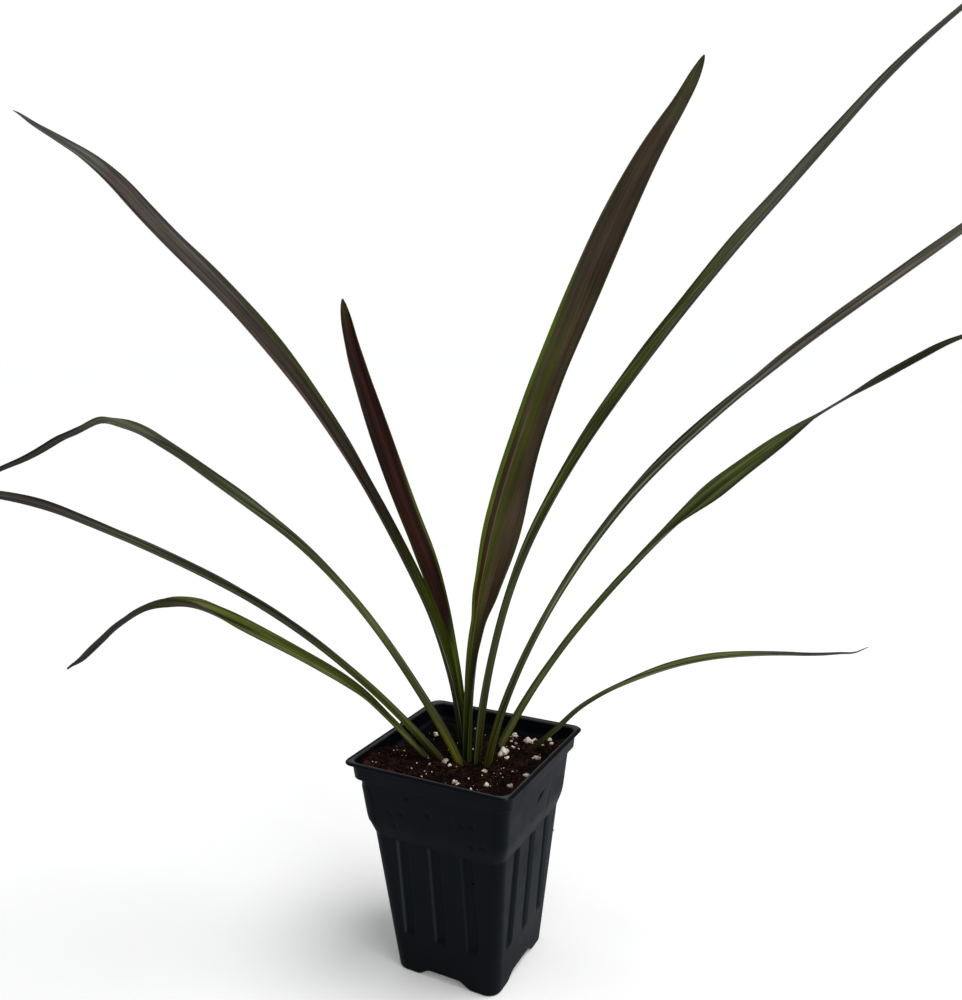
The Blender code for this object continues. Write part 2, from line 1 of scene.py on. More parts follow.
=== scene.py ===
"""Potted chocolate mint cordyline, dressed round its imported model.

The camera and the studio are in metres. All lengths after them are in millimetres, and put() and
MM turn them into metres.
"""
import math

import bpy
import numpy as np
from mathutils import Matrix, Vector


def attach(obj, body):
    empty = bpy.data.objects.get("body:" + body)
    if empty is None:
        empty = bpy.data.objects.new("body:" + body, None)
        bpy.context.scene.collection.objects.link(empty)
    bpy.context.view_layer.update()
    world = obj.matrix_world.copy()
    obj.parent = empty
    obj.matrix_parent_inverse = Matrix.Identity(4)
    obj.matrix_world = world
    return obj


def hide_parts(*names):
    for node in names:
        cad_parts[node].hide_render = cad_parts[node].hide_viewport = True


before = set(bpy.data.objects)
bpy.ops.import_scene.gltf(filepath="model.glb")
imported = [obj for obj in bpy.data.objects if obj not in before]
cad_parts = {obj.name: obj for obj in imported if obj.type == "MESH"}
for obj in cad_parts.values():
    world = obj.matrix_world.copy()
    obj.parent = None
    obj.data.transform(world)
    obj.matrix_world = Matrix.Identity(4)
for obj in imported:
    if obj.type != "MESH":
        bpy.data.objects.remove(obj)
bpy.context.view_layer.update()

MM = 0.001


# Camera: held by hand half a metre from the pot, a little above the middle of the leaves, and
# turned to look across the pot's near corner. Its place and angles were solved from the corners
# of the pot in the photograph.
CAMERA_PLACE = np.array([0.2366, -0.4296, 0.3488])
CAMERA_YAW = math.radians(-27.69)
CAMERA_DIP = math.radians(9.78)
CAMERA_ROLL = math.radians(-0.85)
CAMERA_LENS = 35.0
SENSOR_WIDTH = 36.0
PHOTO_WIDTH = 962.0
NEAREST_SEEN = 0.01

ahead = np.array([math.sin(CAMERA_YAW) * math.cos(CAMERA_DIP),
                  math.cos(CAMERA_YAW) * math.cos(CAMERA_DIP), -math.sin(CAMERA_DIP)])
level_right = np.array([math.cos(CAMERA_YAW), -math.sin(CAMERA_YAW), 0.0])
level_up = np.cross(level_right, ahead)
right = level_right * math.cos(CAMERA_ROLL) + level_up * math.sin(CAMERA_ROLL)
up = level_up * math.cos(CAMERA_ROLL) - level_right * math.sin(CAMERA_ROLL)
half_pixel = 0.5 / PHOTO_WIDTH  # from the corners of the photograph's pixels to their middles
camera = bpy.data.objects.new("camera", bpy.data.cameras.new("camera"))
bpy.context.scene.collection.objects.link(camera)
camera.matrix_world = Matrix([[right[k], up[k], -ahead[k], CAMERA_PLACE[k]] for k in range(3)]
                             + [[0.0, 0.0, 0.0, 1.0]])
camera.data.sensor_fit = 'HORIZONTAL'
camera.data.sensor_width = SENSOR_WIDTH
camera.data.lens = CAMERA_LENS
camera.data.shift_x = -half_pixel
camera.data.shift_y = half_pixel
camera.data.clip_start = NEAREST_SEEN
bpy.context.scene.camera = camera


# Studio: a pale seamless floor under white surroundings, a broad soft light high on the right and
# a soft box low on the right. The surroundings are whiter to the eye than the light they throw,
# and the floor glows a little, as a lit table does, so that it runs into them without an edge.
FLOOR_REACH = 30.0
FLOOR_TONES = (0.90, 0.90, 0.90, 1.0), (0.93, 0.93, 0.925, 1.0)
FLOOR_GRAIN = 9.0
FLOOR_GLOW = 0.10
FLOOR_THROWN = (0.67, 0.70, 0.73, 1.0)
WHITE, COOL_WHITE = (1.0, 1.0, 1.0, 1.0), (0.98, 0.99, 1.0, 1.0)
SKY_SEEN = 1.0
SKY_LIGHT = 0.40
SKY_SHINE = 0.30
SUN_TOWARDS = (-0.42, -0.10, -1.0)
SUN_STRENGTH = 2.1
SUN_ANGLE = 40.0
SIDE_BOX_PLACE, SIDE_BOX_AIM = Vector((1.35, -0.75, 0.55)), Vector((0.0, 0.0, 0.2))
SIDE_BOX_SIZE = 0.8
SIDE_BOX_WATTS = 9.0


def add(tree, kind, sockets=(), **settings):
    """One shader node; a socket takes a plain value or another node's output."""
    made = tree.nodes.new(kind)
    for key, value in settings.items():
        setattr(made, key, value)
    for socket, value in dict(sockets).items():
        if isinstance(value, bpy.types.NodeSocket):
            tree.links.new(value, made.inputs[socket])
        else:
            made.inputs[socket].default_value = value
    return made


def object_place(tree):
    """Where a point of the surface lies on the object, in metres."""
    return add(tree, "ShaderNodeTexCoord").outputs["Object"]


def noise(tree, place, scale, detail, roughness=0.5):
    """Cloudy pattern from 0 to 1 over the place, finer as the scale grows."""
    return add(tree, "ShaderNodeTexNoise", {"Vector": place, "Scale": scale, "Detail": detail,
                                            "Roughness": roughness}).outputs["Fac"]


def blend(tree, amount, first, second, kind='MIX'):
    """Colour that goes from the first to the second with the amount, or to what the kind says."""
    return add(tree, "ShaderNodeMix", {0: amount, 6: first, 7: second}, data_type='RGBA',
               blend_type=kind).outputs[2]


def by_ray(tree, ray, chosen, other):
    """Shader that answers one kind of ray as chosen, and every other kind as other."""
    path = add(tree, "ShaderNodeLightPath")
    return add(tree, "ShaderNodeMixShader", {0: path.outputs[ray], 1: other.outputs[0],
                                             2: chosen.outputs[0]})


def new_material(name):
    """Empty material, and its node tree."""
    material = bpy.data.materials.new(name)
    material.use_nodes = True
    material.node_tree.nodes.clear()
    return material, material.node_tree


def close_material(tree, shader):
    """Joins the last shader to the material's output."""
    out = tree.nodes.new("ShaderNodeOutputMaterial")
    tree.links.new(shader.outputs[0], out.inputs["Surface"])


def hang_light(name, kind, place, towards, **settings):
    """Lamp at a place that shines along the direction towards."""
    lamp = bpy.data.lights.new(name, kind)
    for key, value in settings.items():
        setattr(lamp, key, value)
    light = bpy.data.objects.new(name, lamp)
    light.location = place
    light.rotation_mode = 'QUATERNION'
    light.rotation_quaternion = Vector(towards).to_track_quat('-Z', 'Y')
    bpy.context.scene.collection.objects.link(light)


floor_finish, tree = new_material("pale_floor")
grain = noise(tree, object_place(tree), FLOOR_GRAIN, 4.0)
seen = add(tree, "ShaderNodeBsdfPrincipled", {
    "Base Color": blend(tree, grain, *FLOOR_TONES), "Roughness": 0.9, "Specular IOR Level": 0.1,
    "Emission Color": WHITE, "Emission Strength": FLOOR_GLOW})
thrown = add(tree, "ShaderNodeBsdfPrincipled", {
    "Base Color": FLOOR_THROWN, "Roughness": 0.9, "Specular IOR Level": 0.0})
close_material(tree, by_ray(tree, "Is Camera Ray", seen, thrown))
floor_mesh = bpy.data.meshes.new("floor")
floor_mesh.from_pydata([(x * FLOOR_REACH, y * FLOOR_REACH, 0.0)
                        for x, y in ((-1, -1), (1, -1), (1, 1), (-1, 1))], [], [(0, 1, 2, 3)])
floor_mesh.materials.append(floor_finish)
floor = bpy.data.objects.new("floor", floor_mesh)
bpy.context.scene.collection.objects.link(floor)

world = bpy.data.worlds.new("studio")
world.use_nodes = True
bpy.context.scene.world = world
tree = world.node_tree
tree.nodes.clear()
seen = add(tree, "ShaderNodeBackground", {"Color": WHITE, "Strength": SKY_SEEN})
thrown = add(tree, "ShaderNodeBackground", {"Color": COOL_WHITE, "Strength": SKY_LIGHT})
shine = add(tree, "ShaderNodeBackground", {"Color": WHITE, "Strength": SKY_SHINE})
sky = by_ray(tree, "Is Camera Ray", seen, by_ray(tree, "Is Glossy Ray", shine, thrown))
tree.links.new(sky.outputs[0], add(tree, "ShaderNodeOutputWorld").inputs["Surface"])
hang_light("soft_light", 'SUN', (0.0, 0.0, 0.0), SUN_TOWARDS, energy=SUN_STRENGTH,
           angle=math.radians(SUN_ANGLE))
hang_light("side_box", 'AREA', SIDE_BOX_PLACE, SIDE_BOX_AIM - SIDE_BOX_PLACE,
           energy=SIDE_BOX_WATTS, size=SIDE_BOX_SIZE)
bpy.context.scene.view_settings.view_transform = 'Standard'


# Pot: a deep square nursery pot, injection moulded in thin black polypropylene, with three flutes
# pressed into each side, a shoulder, a collar under a turned-out lip, four feet with arches
# between them, and five drain holes. The wall is one skin from the feet over the lip to the floor.
BASE_HALF = 31.5
BODY_TOP_Z, BODY_TOP_HALF = 84.0, 39.6
SHOULDER_Z, SHOULDER_HALF = 92.0, 42.2
NECK_TOP_Z, NECK_TOP_HALF = 117.0, 44.7
COLLAR_HALF = 47.3
RIM_HALF = 50.0
POT_HEIGHT = 127.0
LIP = 1.2
WALL = 1.0
CORNER_RADIUS, RIM_RADIUS, FLOOR_RADIUS = 7.5, 6.0, 6.0
FLUTE_PITCH, FLUTE_WIDTH, FLUTE_DEPTH, FLUTE_RAMP = 19.5, 7.6, 1.7, 1.5
FLUTE_BOTTOM_Z, FLUTE_FOOT, FLUTE_HEAD = 24.0, 5.0, 3.0
FLOOR_Z = 6.0
FLOOR_NET_HALF = 28.6
ARCH_HEIGHT, ARCH_FOOT_HALF, ARCH_TOP_HALF = 4.0, 17.2, 8.6
ARCH_FADE_Z = 14.0
DRAIN_RADIUS, DRAIN_RING = 4.0, 19.0
SIDE_POINTS, CORNER_POINTS = 99, 13
EVEN_COLUMNS, EVEN_REACH, EVEN_AT_MOST, SIDE_END = 36, 23.4, 0.965, 0.98
FLUTE_FOOT_RINGS, FLUTE_RINGS, FLUTE_HEAD_RINGS, NECK_RINGS, LIP_RINGS = 9, 12, 8, 26, 6
ON_CORNER = 60.0


def ease(value):
    """0 to 1 with level ends, for arrays: 3v^2 - 2v^3 of the value held between 0 and 1."""
    value = np.clip(value, 0.0, 1.0)
    return value * value * (3.0 - 2.0 * value)


def rounded_path(points, radii, steps=5):
    """Polyline whose inner corners are turned to curves of the given reach.

    Each corner b with neighbours a and c becomes (1-t)^2 a' + 2t(1-t) b + t^2 c', where a' and c'
    lie on its two arms, at most 0.45 of an arm away.
    """
    points = np.array(points, float)
    arms = np.diff(points, axis=0)
    lengths = np.linalg.norm(arms, axis=1)
    reach = np.minimum(radii, 0.45 * np.minimum(lengths[:-1], lengths[1:]))[:, None]
    before = points[1:-1] - arms[:-1] / lengths[:-1, None] * reach
    after = points[1:-1] + arms[1:] / lengths[1:, None] * reach
    t = np.linspace(0.0, 1.0, steps)[None, :, None]
    curves = ((1 - t) ** 2 * before[:, None] + 2 * t * (1 - t) * points[1:-1, None]
              + t ** 2 * after[:, None])
    return np.vstack([points[:1], curves.reshape(-1, points.shape[1]), points[-1:]])


def square_rings(half, radius, side, corner_points):
    """Rounded squares as an array (rings, points round, 2).

    half is (rings, 1) or (rings, points round); side holds places along one side (rings, n).
    A quarter is x = half with y along the side, then the corner's arc; it is turned four times.
    """
    angles = np.linspace(0.0, math.pi / 2.0, corner_points)[None, :]
    side_points = side.shape[1]
    half = np.broadcast_to(half, (len(half), 4 * (side_points + corner_points)))
    turned = []
    for wide, c, s in zip(np.split(half, 4, axis=1), (1, 0, -1, 0), (0, 1, 0, -1)):
        middle = wide[:, side_points:] - radius
        x = np.hstack([wide[:, :side_points], middle + radius * np.cos(angles)])
        y = np.hstack([side, middle + radius * np.sin(angles)])
        turned.append(np.stack([x * c - y * s, x * s + y * c], axis=-1))
    return np.concatenate(turned, axis=1)


def net_edges(ring, side_points, corner_points):
    """Cuts a ring at its corners' middles into the bottom, top, left and right of a square net."""
    cells = side_points + corner_points
    start = side_points + corner_points // 2
    turned = np.roll(ring, -start, axis=0)
    turned = np.concatenate([turned, turned[:1]])
    top, left, bottom, right_edge = (turned[k * cells:(k + 1) * cells + 1] for k in range(4))
    return bottom, top[::-1], left[::-1], right_edge


def drawn_in(ring, side_points, corner_points):
    """Square net stretched inside a ring: each point blends its row's and column's ends.

    P(u, v) = (1-v) bottom + v top + (1-u) left + u right - the same blend of the four corners.
    """
    bottom, top, left, right_edge = net_edges(ring, side_points, corner_points)
    u = np.linspace(0.0, 1.0, len(bottom))[:, None, None]
    v = np.linspace(0.0, 1.0, len(bottom))[None, :, None]
    corners = ((1 - u) * (1 - v) * bottom[0] + u * (1 - v) * bottom[-1]
               + (1 - u) * v * top[0] + u * v * top[-1])
    return ((1 - v) * bottom[:, None] + v * top[:, None] + (1 - u) * left[None, :]
            + u * right_edge[None, :] - corners)


def net_numbers(ring_numbers, first, side_points, corner_points):
    """Point numbers of such a net: its border uses the ring's own points."""
    cells = side_points + corner_points
    net = np.zeros((cells + 1, cells + 1), int)
    net[1:-1, 1:-1] = first + np.arange((cells - 1) ** 2).reshape(cells - 1, cells - 1)
    bottom, top, left, right_edge = net_edges(ring_numbers, side_points, corner_points)
    net[:, 0], net[:, -1], net[0, :], net[-1, :] = bottom, top, left, right_edge
    return net


def net_faces(net):
    """Quads between neighbouring rows and columns of point numbers."""
    corners = net[:-1, :-1], net[1:, :-1], net[1:, 1:], net[:-1, 1:]
    return np.stack(corners, axis=-1).reshape(-1, 4)


def closed_rows(rows, points_round):
    """Point numbers of rings stacked in rows, with the first column repeated to close them."""
    net = np.arange(rows * points_round).reshape(rows, points_round)
    return np.hstack([net, net[:, :1]])


def put(name, points, quads, triangles, material, slot, nodes=(), sharp=40.0, attributes=()):
    """Makes a piece of the root body from points in millimetres, quads and triangles.

    Points that no face uses are left out, and the faces are turned outward where the sum of
    a . (b x c) over their triangles is below zero. It stands for the nodes; its slot is not used.
    Edges sharper than the angle in degrees stay sharp. Attributes are three numbers at each point.
    """
    quads = np.asarray(quads, int).reshape(-1, 4)
    triangles = np.asarray(triangles, int).reshape(-1, 3)
    used, numbers = np.unique(np.concatenate([quads.ravel(), triangles.ravel()]),
                              return_inverse=True)
    points = np.asarray(points, float)[used] * MM
    quads, triangles = numbers[:quads.size].reshape(-1, 4), numbers[quads.size:].reshape(-1, 3)
    flat = np.concatenate([quads[:, [0, 1, 2]], quads[:, [0, 2, 3]], triangles])
    a, b, c = (points[flat[:, k]] for k in range(3))
    if np.einsum('ij,ij->i', a, np.cross(b, c)).sum() < 0.0:
        quads, triangles = quads[:, ::-1], triangles[:, ::-1]
    mesh = bpy.data.meshes.new(name)
    mesh.from_pydata(points.tolist(), [], quads.tolist() + triangles.tolist())
    mesh.shade_smooth()
    mesh.set_sharp_from_angle(angle=math.radians(sharp))
    for key, values in dict(attributes).items():
        layer = mesh.attributes.new(key, 'FLOAT_VECTOR', 'POINT')
        layer.data.foreach_set("vector", np.asarray(values, np.float32)[used].ravel())
    mesh.materials.append(material)
    piece = bpy.data.objects.new(name, mesh)
    bpy.context.scene.collection.objects.link(piece)
    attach(piece, "root")
    for node in nodes:
        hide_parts(node)


def body_half(z):
    """Half width of the pot's outside from its base to the top of its neck."""
    return np.interp(z, (0.0, BODY_TOP_Z, SHOULDER_Z, NECK_TOP_Z),
                     (BASE_HALF, BODY_TOP_HALF, SHOULDER_HALF, NECK_TOP_HALF))


def arch_rise(x, y):
    """Height of the pot's underside: two rounded channels that cross between the feet."""
    rise = [ease((ARCH_FOOT_HALF - abs(s)) / (ARCH_FOOT_HALF - ARCH_TOP_HALF)) for s in (x, y)]
    return ARCH_HEIGHT * (rise[0] + rise[1] - rise[0] * rise[1])


# Outline of the wall as half width, height and corner radius, from the edge of the underside up,
# over the lip and down to the inside of the floor, and how far each of its corners is rounded
under_lip = POT_HEIGHT - LIP
inner = CORNER_RADIUS - WALL
outline = rounded_path((
    (FLOOR_NET_HALF, 0.0, FLOOR_RADIUS), (BASE_HALF, 0.0, CORNER_RADIUS),
    (float(body_half(12.0)), 12.0, CORNER_RADIUS),
    (float(body_half(FLUTE_BOTTOM_Z)), FLUTE_BOTTOM_Z, CORNER_RADIUS),
    (BODY_TOP_HALF, BODY_TOP_Z, CORNER_RADIUS), (SHOULDER_HALF, SHOULDER_Z, CORNER_RADIUS),
    (NECK_TOP_HALF, NECK_TOP_Z, CORNER_RADIUS),
    (COLLAR_HALF - 0.3, NECK_TOP_Z + 0.3, CORNER_RADIUS),
    (COLLAR_HALF + 0.4, under_lip, CORNER_RADIUS), (RIM_HALF - 0.2, under_lip, RIM_RADIUS),
    (RIM_HALF, under_lip + 0.6, RIM_RADIUS), (RIM_HALF - 0.6, POT_HEIGHT, RIM_RADIUS),
    (COLLAR_HALF - 0.5, POT_HEIGHT, inner), (COLLAR_HALF - 0.7, POT_HEIGHT - 2.0, inner),
    (COLLAR_HALF - 1.1, NECK_TOP_Z + 1.6, inner), (NECK_TOP_HALF - WALL, NECK_TOP_Z, inner),
    (SHOULDER_HALF - WALL, SHOULDER_Z, inner), (BODY_TOP_HALF - WALL, BODY_TOP_Z, inner),
    (float(body_half(FLOOR_Z)) - WALL, FLOOR_Z, inner), (FLOOR_NET_HALF, FLOOR_Z, FLOOR_RADIUS)),
    (2.6, 1.0, 1.0, 0.6, 5.0, 1.2, 0.5, 0.9, 0.4, 0.3, 0.5, 0.6, 0.8, 1.0, 1.2, 2.4, 2.0, 1.6))

# Extra rings where the flutes begin and end, on both faces of the wall, and up the neck outside.
# Inside, the rings start again past the lip's inner corner, LIP_RINGS after its highest.
flute_ends = (FLUTE_BOTTOM_Z + FLUTE_FOOT + 1.0, BODY_TOP_Z - FLUTE_HEAD - 1.0)
heights = np.concatenate([np.linspace(FLUTE_BOTTOM_Z, flute_ends[0], FLUTE_FOOT_RINGS)[1:],
                          np.linspace(*flute_ends, FLUTE_RINGS)[1:],
                          np.linspace(flute_ends[1], BODY_TOP_Z, FLUTE_HEAD_RINGS)[1:-1]])
neck_heights = np.linspace(SHOULDER_Z + 1.0, NECK_TOP_Z - 1.0, NECK_RINGS)
ring_share = np.arange(len(outline), dtype=float)
top_ring = int(np.argmax(outline[:, 1]))
inside_ring = top_ring + LIP_RINGS
outer_shares = np.interp(np.append(heights, neck_heights), outline[:top_ring, 1],
                         ring_share[:top_ring])
inner_shares = np.interp(-heights[::2], -outline[inside_ring:, 1], ring_share[inside_ring:])
ring_share = np.unique(np.round(np.concatenate([ring_share, outer_shares, inner_shares]), 4))
half, height, radius = (np.interp(ring_share, np.arange(len(outline)), column)[:, None]
                        for column in outline.T)
rings = len(ring_share)

# The columns over the flutes stand evenly and straight up; those beyond them share out the rest.
# Corner columns are marked ON_CORNER, further along than any side reaches.
straight = half - radius
even_reach = np.minimum(EVEN_REACH, EVEN_AT_MOST * straight)
column = np.arange(SIDE_POINTS)[None, :] - SIDE_POINTS // 2
beyond = (abs(column) - EVEN_COLUMNS) / (SIDE_POINTS // 2 - EVEN_COLUMNS)
side = np.where(beyond <= 0.0, column / EVEN_COLUMNS * even_reach,
                np.sign(column) * (even_reach + beyond * (SIDE_END * straight - even_reach)))
outside = np.arange(rings)[:, None] < int(np.argmax(height))
plan = square_rings(half, radius, side, CORNER_POINTS)
near_base = outside & (height < ARCH_FADE_Z)
lift = arch_rise(plan[..., 0], plan[..., 1]) * np.where(near_base, 1.0 - height / ARCH_FADE_Z, 0.0)
wall_z = height + lift
spread = np.where(near_base & (half > BASE_HALF - 1.0), body_half(wall_z) - body_half(height), 0.0)
flute_run = ease((wall_z - FLUTE_BOTTOM_Z) / FLUTE_FOOT) * ease((BODY_TOP_Z - wall_z) / FLUTE_HEAD)
along_side = np.tile(np.hstack([side, np.full((rings, CORNER_POINTS), ON_CORNER)]), (1, 4))
from_flute = along_side - FLUTE_PITCH * np.clip(np.round(along_side / FLUTE_PITCH), -1, 1)
groove = ease((FLUTE_WIDTH / 2.0 - abs(from_flute)) / FLUTE_RAMP)

# Dents and cuts, as found on a used pot: side of the pot, place along it, height, half length,
# half width, lean in degrees and depth. Each is depth * exp(-a^2 - b^2) of the distances along
# and across it as shares of its half length and half width.
MARKS = ((3, -0.4, 104.6, 1.3, 1.3, 60, 0.7), (3, -17.2, 101.4, 1.5, 0.8, 0, 0.7),
         (3, -24.0, 100.2, 1.0, 0.8, 0, 0.6), (3, -12.6, 112.2, 1.6, 1.0, 20, 0.6),
         (3, 19.6, 103.6, 1.0, 1.0, 0, 0.6), (3, 25.4, 104.6, 1.3, 1.0, 0, 0.7),
         (3, 24.6, 92.8, 1.8, 0.8, -20, 0.7), (3, 31.0, 93.6, 2.4, 0.8, 0, 0.6),
         (3, -22.0, 93.6, 1.4, 0.8, -20, 0.5), (3, 13.0, 103.0, 5.0, 0.9, 88, 0.15),
         (0, 2.3, 104.6, 3.6, 0.7, 22, 1.3), (0, 14.0, 98.0, 5.0, 1.4, 70, 0.3),
         (1, -12.0, 103.0, 2.4, 1.4, 35, 0.4), (2, 21.0, 107.0, 2.0, 1.2, -15, 0.4))
side_number = np.repeat(np.arange(4), SIDE_POINTS + CORNER_POINTS)[None, :]
dents = np.zeros_like(wall_z)
for number, at, at_z, long, narrow, lean, depth in MARKS:
    c, s = math.cos(math.radians(lean)), math.sin(math.radians(lean))
    a = ((along_side - at) * c + (wall_z - at_z) * s) / long
    b = ((wall_z - at_z) * c - (along_side - at) * s) / narrow
    dents += np.where(outside & (side_number == number), depth * np.exp(-a * a - b * b), 0.0)

# One corner of the neck has swollen out, within a rounded panel on its two sides. With a and b
# the distances from the panel's middle over its half width and half height, |a|^3 + |b|^3 is
# full up to 0.8 and flat from PANEL_END on.
CORNER_AT, PANEL_WIDE, PANEL_Z, PANEL_TALL, SWOLLEN = 44.0, 9.6, 101.5, 11.0, 0.3
PANEL_END, PANEL_FADE = 1.15, 0.35
from_corner = np.where(side_number == 3, along_side + CORNER_AT, CORNER_AT - along_side)
from_corner = np.where((side_number == 2) & (along_side == ON_CORNER), 0.0, from_corner)
panel = (np.maximum(from_corner, 0.0) / PANEL_WIDE) ** 3 + (abs(wall_z - PANEL_Z) / PANEL_TALL) ** 3
on_panel = outside & ((side_number == 2) | ((side_number == 3) & (along_side < ON_CORNER)))
bulge = np.where(on_panel, SWOLLEN * ease((PANEL_END - panel) / PANEL_FADE), 0.0)
plan = square_rings(half + spread - FLUTE_DEPTH * flute_run * groove - dents + bulge, radius, side,
                    CORNER_POINTS)

wall_points = np.dstack([plan, wall_z]).reshape(-1, 3)
wall_net = closed_rows(rings, plan.shape[1])
under_xy = drawn_in(plan[0], SIDE_POINTS, CORNER_POINTS)
cells = SIDE_POINTS + CORNER_POINTS


def snap_drains(xy):
    """Moves the net's points round each drain hole on to its circle; also says which cells stay.

    A cell goes where its middle is inside a hole, and a moved point is the hole's centre plus its
    own direction times the radius.
    """
    middle = (xy[:-1, :-1] + xy[1:, :-1] + xy[1:, 1:] + xy[:-1, 1:]) / 4.0
    kept = np.ones(middle.shape[:2], bool)
    moved = xy.copy()
    ring = [(DRAIN_RING * x, DRAIN_RING * y) for x, y in ((1, 0), (0, 1), (-1, 0), (0, -1))]
    for centre in [(0.0, 0.0)] + ring:
        inside = np.linalg.norm(middle - centre, axis=-1) < DRAIN_RADIUS
        kept &= ~inside
        touched = np.zeros(xy.shape[:2], int)
        for i, j in ((0, 0), (1, 0), (0, 1), (1, 1)):
            touched[i:i + cells, j:j + cells] += inside
        rim = (touched > 0) & (touched < 4)
        away = xy[rim] - centre
        moved[rim] = centre + away / np.linalg.norm(away, axis=1)[:, None] * DRAIN_RADIUS
    return moved, kept


# The underside and the inside of the floor are one net each, with walls between them round the
# drain holes, wherever a cell that stays meets one that goes
under_xy, kept = snap_drains(under_xy)
under = np.dstack([under_xy, arch_rise(under_xy[..., 0], under_xy[..., 1])])
inside_floor = np.dstack([under_xy, np.full(under_xy.shape[:2], FLOOR_Z)])
first_under = len(wall_points)
first_floor = first_under + (cells - 1) ** 2
under_net = net_numbers(wall_net[0, :-1], first_under, SIDE_POINTS, CORNER_POINTS)
floor_net = net_numbers(wall_net[-1, :-1], first_floor, SIDE_POINTS, CORNER_POINTS)
pot_points = np.vstack([wall_points, under[1:-1, 1:-1].reshape(-1, 3),
                        inside_floor[1:-1, 1:-1].reshape(-1, 3)])
drain_walls = []
for turned, low_net, high_net, full in ((False, under_net, floor_net, kept),
                                        (True, under_net.T, floor_net.T, kept.T)):
    step = full[1:].astype(int) - full[:-1].astype(int)
    i, j = np.nonzero(step)
    turn = (step[i, j] > 0) != turned
    a, b = np.where(turn, j, j + 1), np.where(turn, j + 1, j)
    drain_walls.append(np.stack([low_net[i + 1, a], low_net[i + 1, b],
                                 high_net[i + 1, b], high_net[i + 1, a]], 1))
pot_quads = np.vstack([net_faces(wall_net), net_faces(under_net)[kept.ravel()][:, ::-1],
                       net_faces(floor_net)[kept.ravel()]] + drain_walls)

# Black plastic, cloudy with handling. A painted highlight is a grey band on the inner edge of the
# lip and along one edge of each flute, most by the corners, and painted shade is black in the dents
DENT_FULL_SHADE_DEPTH = 0.6
FLUTE_HIGHLIGHT_FROM_CENTRE, FLUTE_HIGHLIGHT_WIDTH, FLUTE_HIGHLIGHT_MIDDLE, FLUTE_HIGHLIGHT_GROWTH, FLUTE_HIGHLIGHT_ENDS = 3.3, 0.5, 0.55, 0.018, 3.0
LIP_HIGHLIGHT_Z, LIP_HIGHLIGHT_HALF = (125.5, 126.6), (47.4, 48.2)


def tint(code):
    """Linear colour of a screen colour written as six hexadecimal digits."""
    parts = [int(code[k:k + 2], 16) / 255.0 for k in (0, 2, 4)]
    return tuple(c / 12.92 if c <= 0.04045 else ((c + 0.055) / 1.055) ** 2.4
                 for c in parts) + (1.0,)


def stored(tree, name):
    """The three numbers that a piece's mesh keeps at each point under a name."""
    return add(tree, "ShaderNodeAttribute", attribute_name=name).outputs["Vector"]


def split(tree, vector):
    """The three numbers of a vector, each on its own."""
    return add(tree, "ShaderNodeSeparateXYZ", {0: vector}).outputs


def maths(tree, kind, a, b=0.0, c=0.0):
    """One sum on up to three numbers."""
    return add(tree, "ShaderNodeMath", {0: a, 1: b, 2: c}, operation=kind).outputs[0]


def minus(tree, a, b):
    """a - b"""
    return maths(tree, 'SUBTRACT', a, b)


def times_plus(tree, a, b, c):
    """a b + c"""
    return maths(tree, 'MULTIPLY_ADD', a, b, c)


def product(tree, first, *others):
    """All the numbers multiplied together."""
    for other in others:
        first = maths(tree, 'MULTIPLY', first, other)
    return first


def mapped(tree, value, low, high, first=0.0, last=1.0, kind='LINEAR'):
    """Number that goes from first to last as the value goes from low to high, and no further."""
    return add(tree, "ShaderNodeMapRange", {0: value, 1: low, 2: high, 3: first, 4: last},
               interpolation_type=kind).outputs[0]


def finish(tree, colour, roughness, specular, height, strength, depth):
    """Closes a material that has a bump: its height goes from 0 to 1 over the depth in metres."""
    bump = add(tree, "ShaderNodeBump", {"Height": height, "Strength": strength, "Distance": depth})
    close_material(tree, add(tree, "ShaderNodeBsdfPrincipled", {
        "Base Color": colour, "Roughness": roughness, "Normal": bump.outputs[0],
        "Specular IOR Level": specular}))


# Painted highlight: a grey line along one edge of each flute, stronger towards the corners
flute_highlight_side = np.where(side_number % 2 == 1, -1.0, 1.0)
flute_highlight = np.exp(-((from_flute * flute_highlight_side - FLUTE_HIGHLIGHT_FROM_CENTRE) / FLUTE_HIGHLIGHT_WIDTH) ** 2)
flute_highlight = flute_highlight * np.clip(FLUTE_HIGHLIGHT_MIDDLE + FLUTE_HIGHLIGHT_GROWTH * along_side * flute_highlight_side, 0.0, 1.0)
flute_highlight = flute_highlight * ease(flute_run * FLUTE_HIGHLIGHT_ENDS) * outside
# The painted marks: black painted shade in the dents, and the painted flute highlight
dent_shade_flute_highlight_amounts = np.zeros((len(pot_points), 3))
dent_shade_flute_highlight_amounts[:dents.size, 0] = np.clip(dents.ravel() / DENT_FULL_SHADE_DEPTH, 0.0, 1.0)
dent_shade_flute_highlight_amounts[:flute_highlight.size, 1] = flute_highlight.ravel()
pot_finish, tree = new_material("black_moulded_plastic")
place = object_place(tree)
cloud = noise(tree, place, 38.0, 5.0, 0.6)
speck = noise(tree, place, 900.0, 2.0)
plastic = blend(tree, cloud, tint("02050a"), tint("060a0f"))
spot = split(tree, place)
from_middle = maths(tree, 'MAXIMUM', maths(tree, 'ABSOLUTE', spot[0]),
                    maths(tree, 'ABSOLUTE', spot[1]))
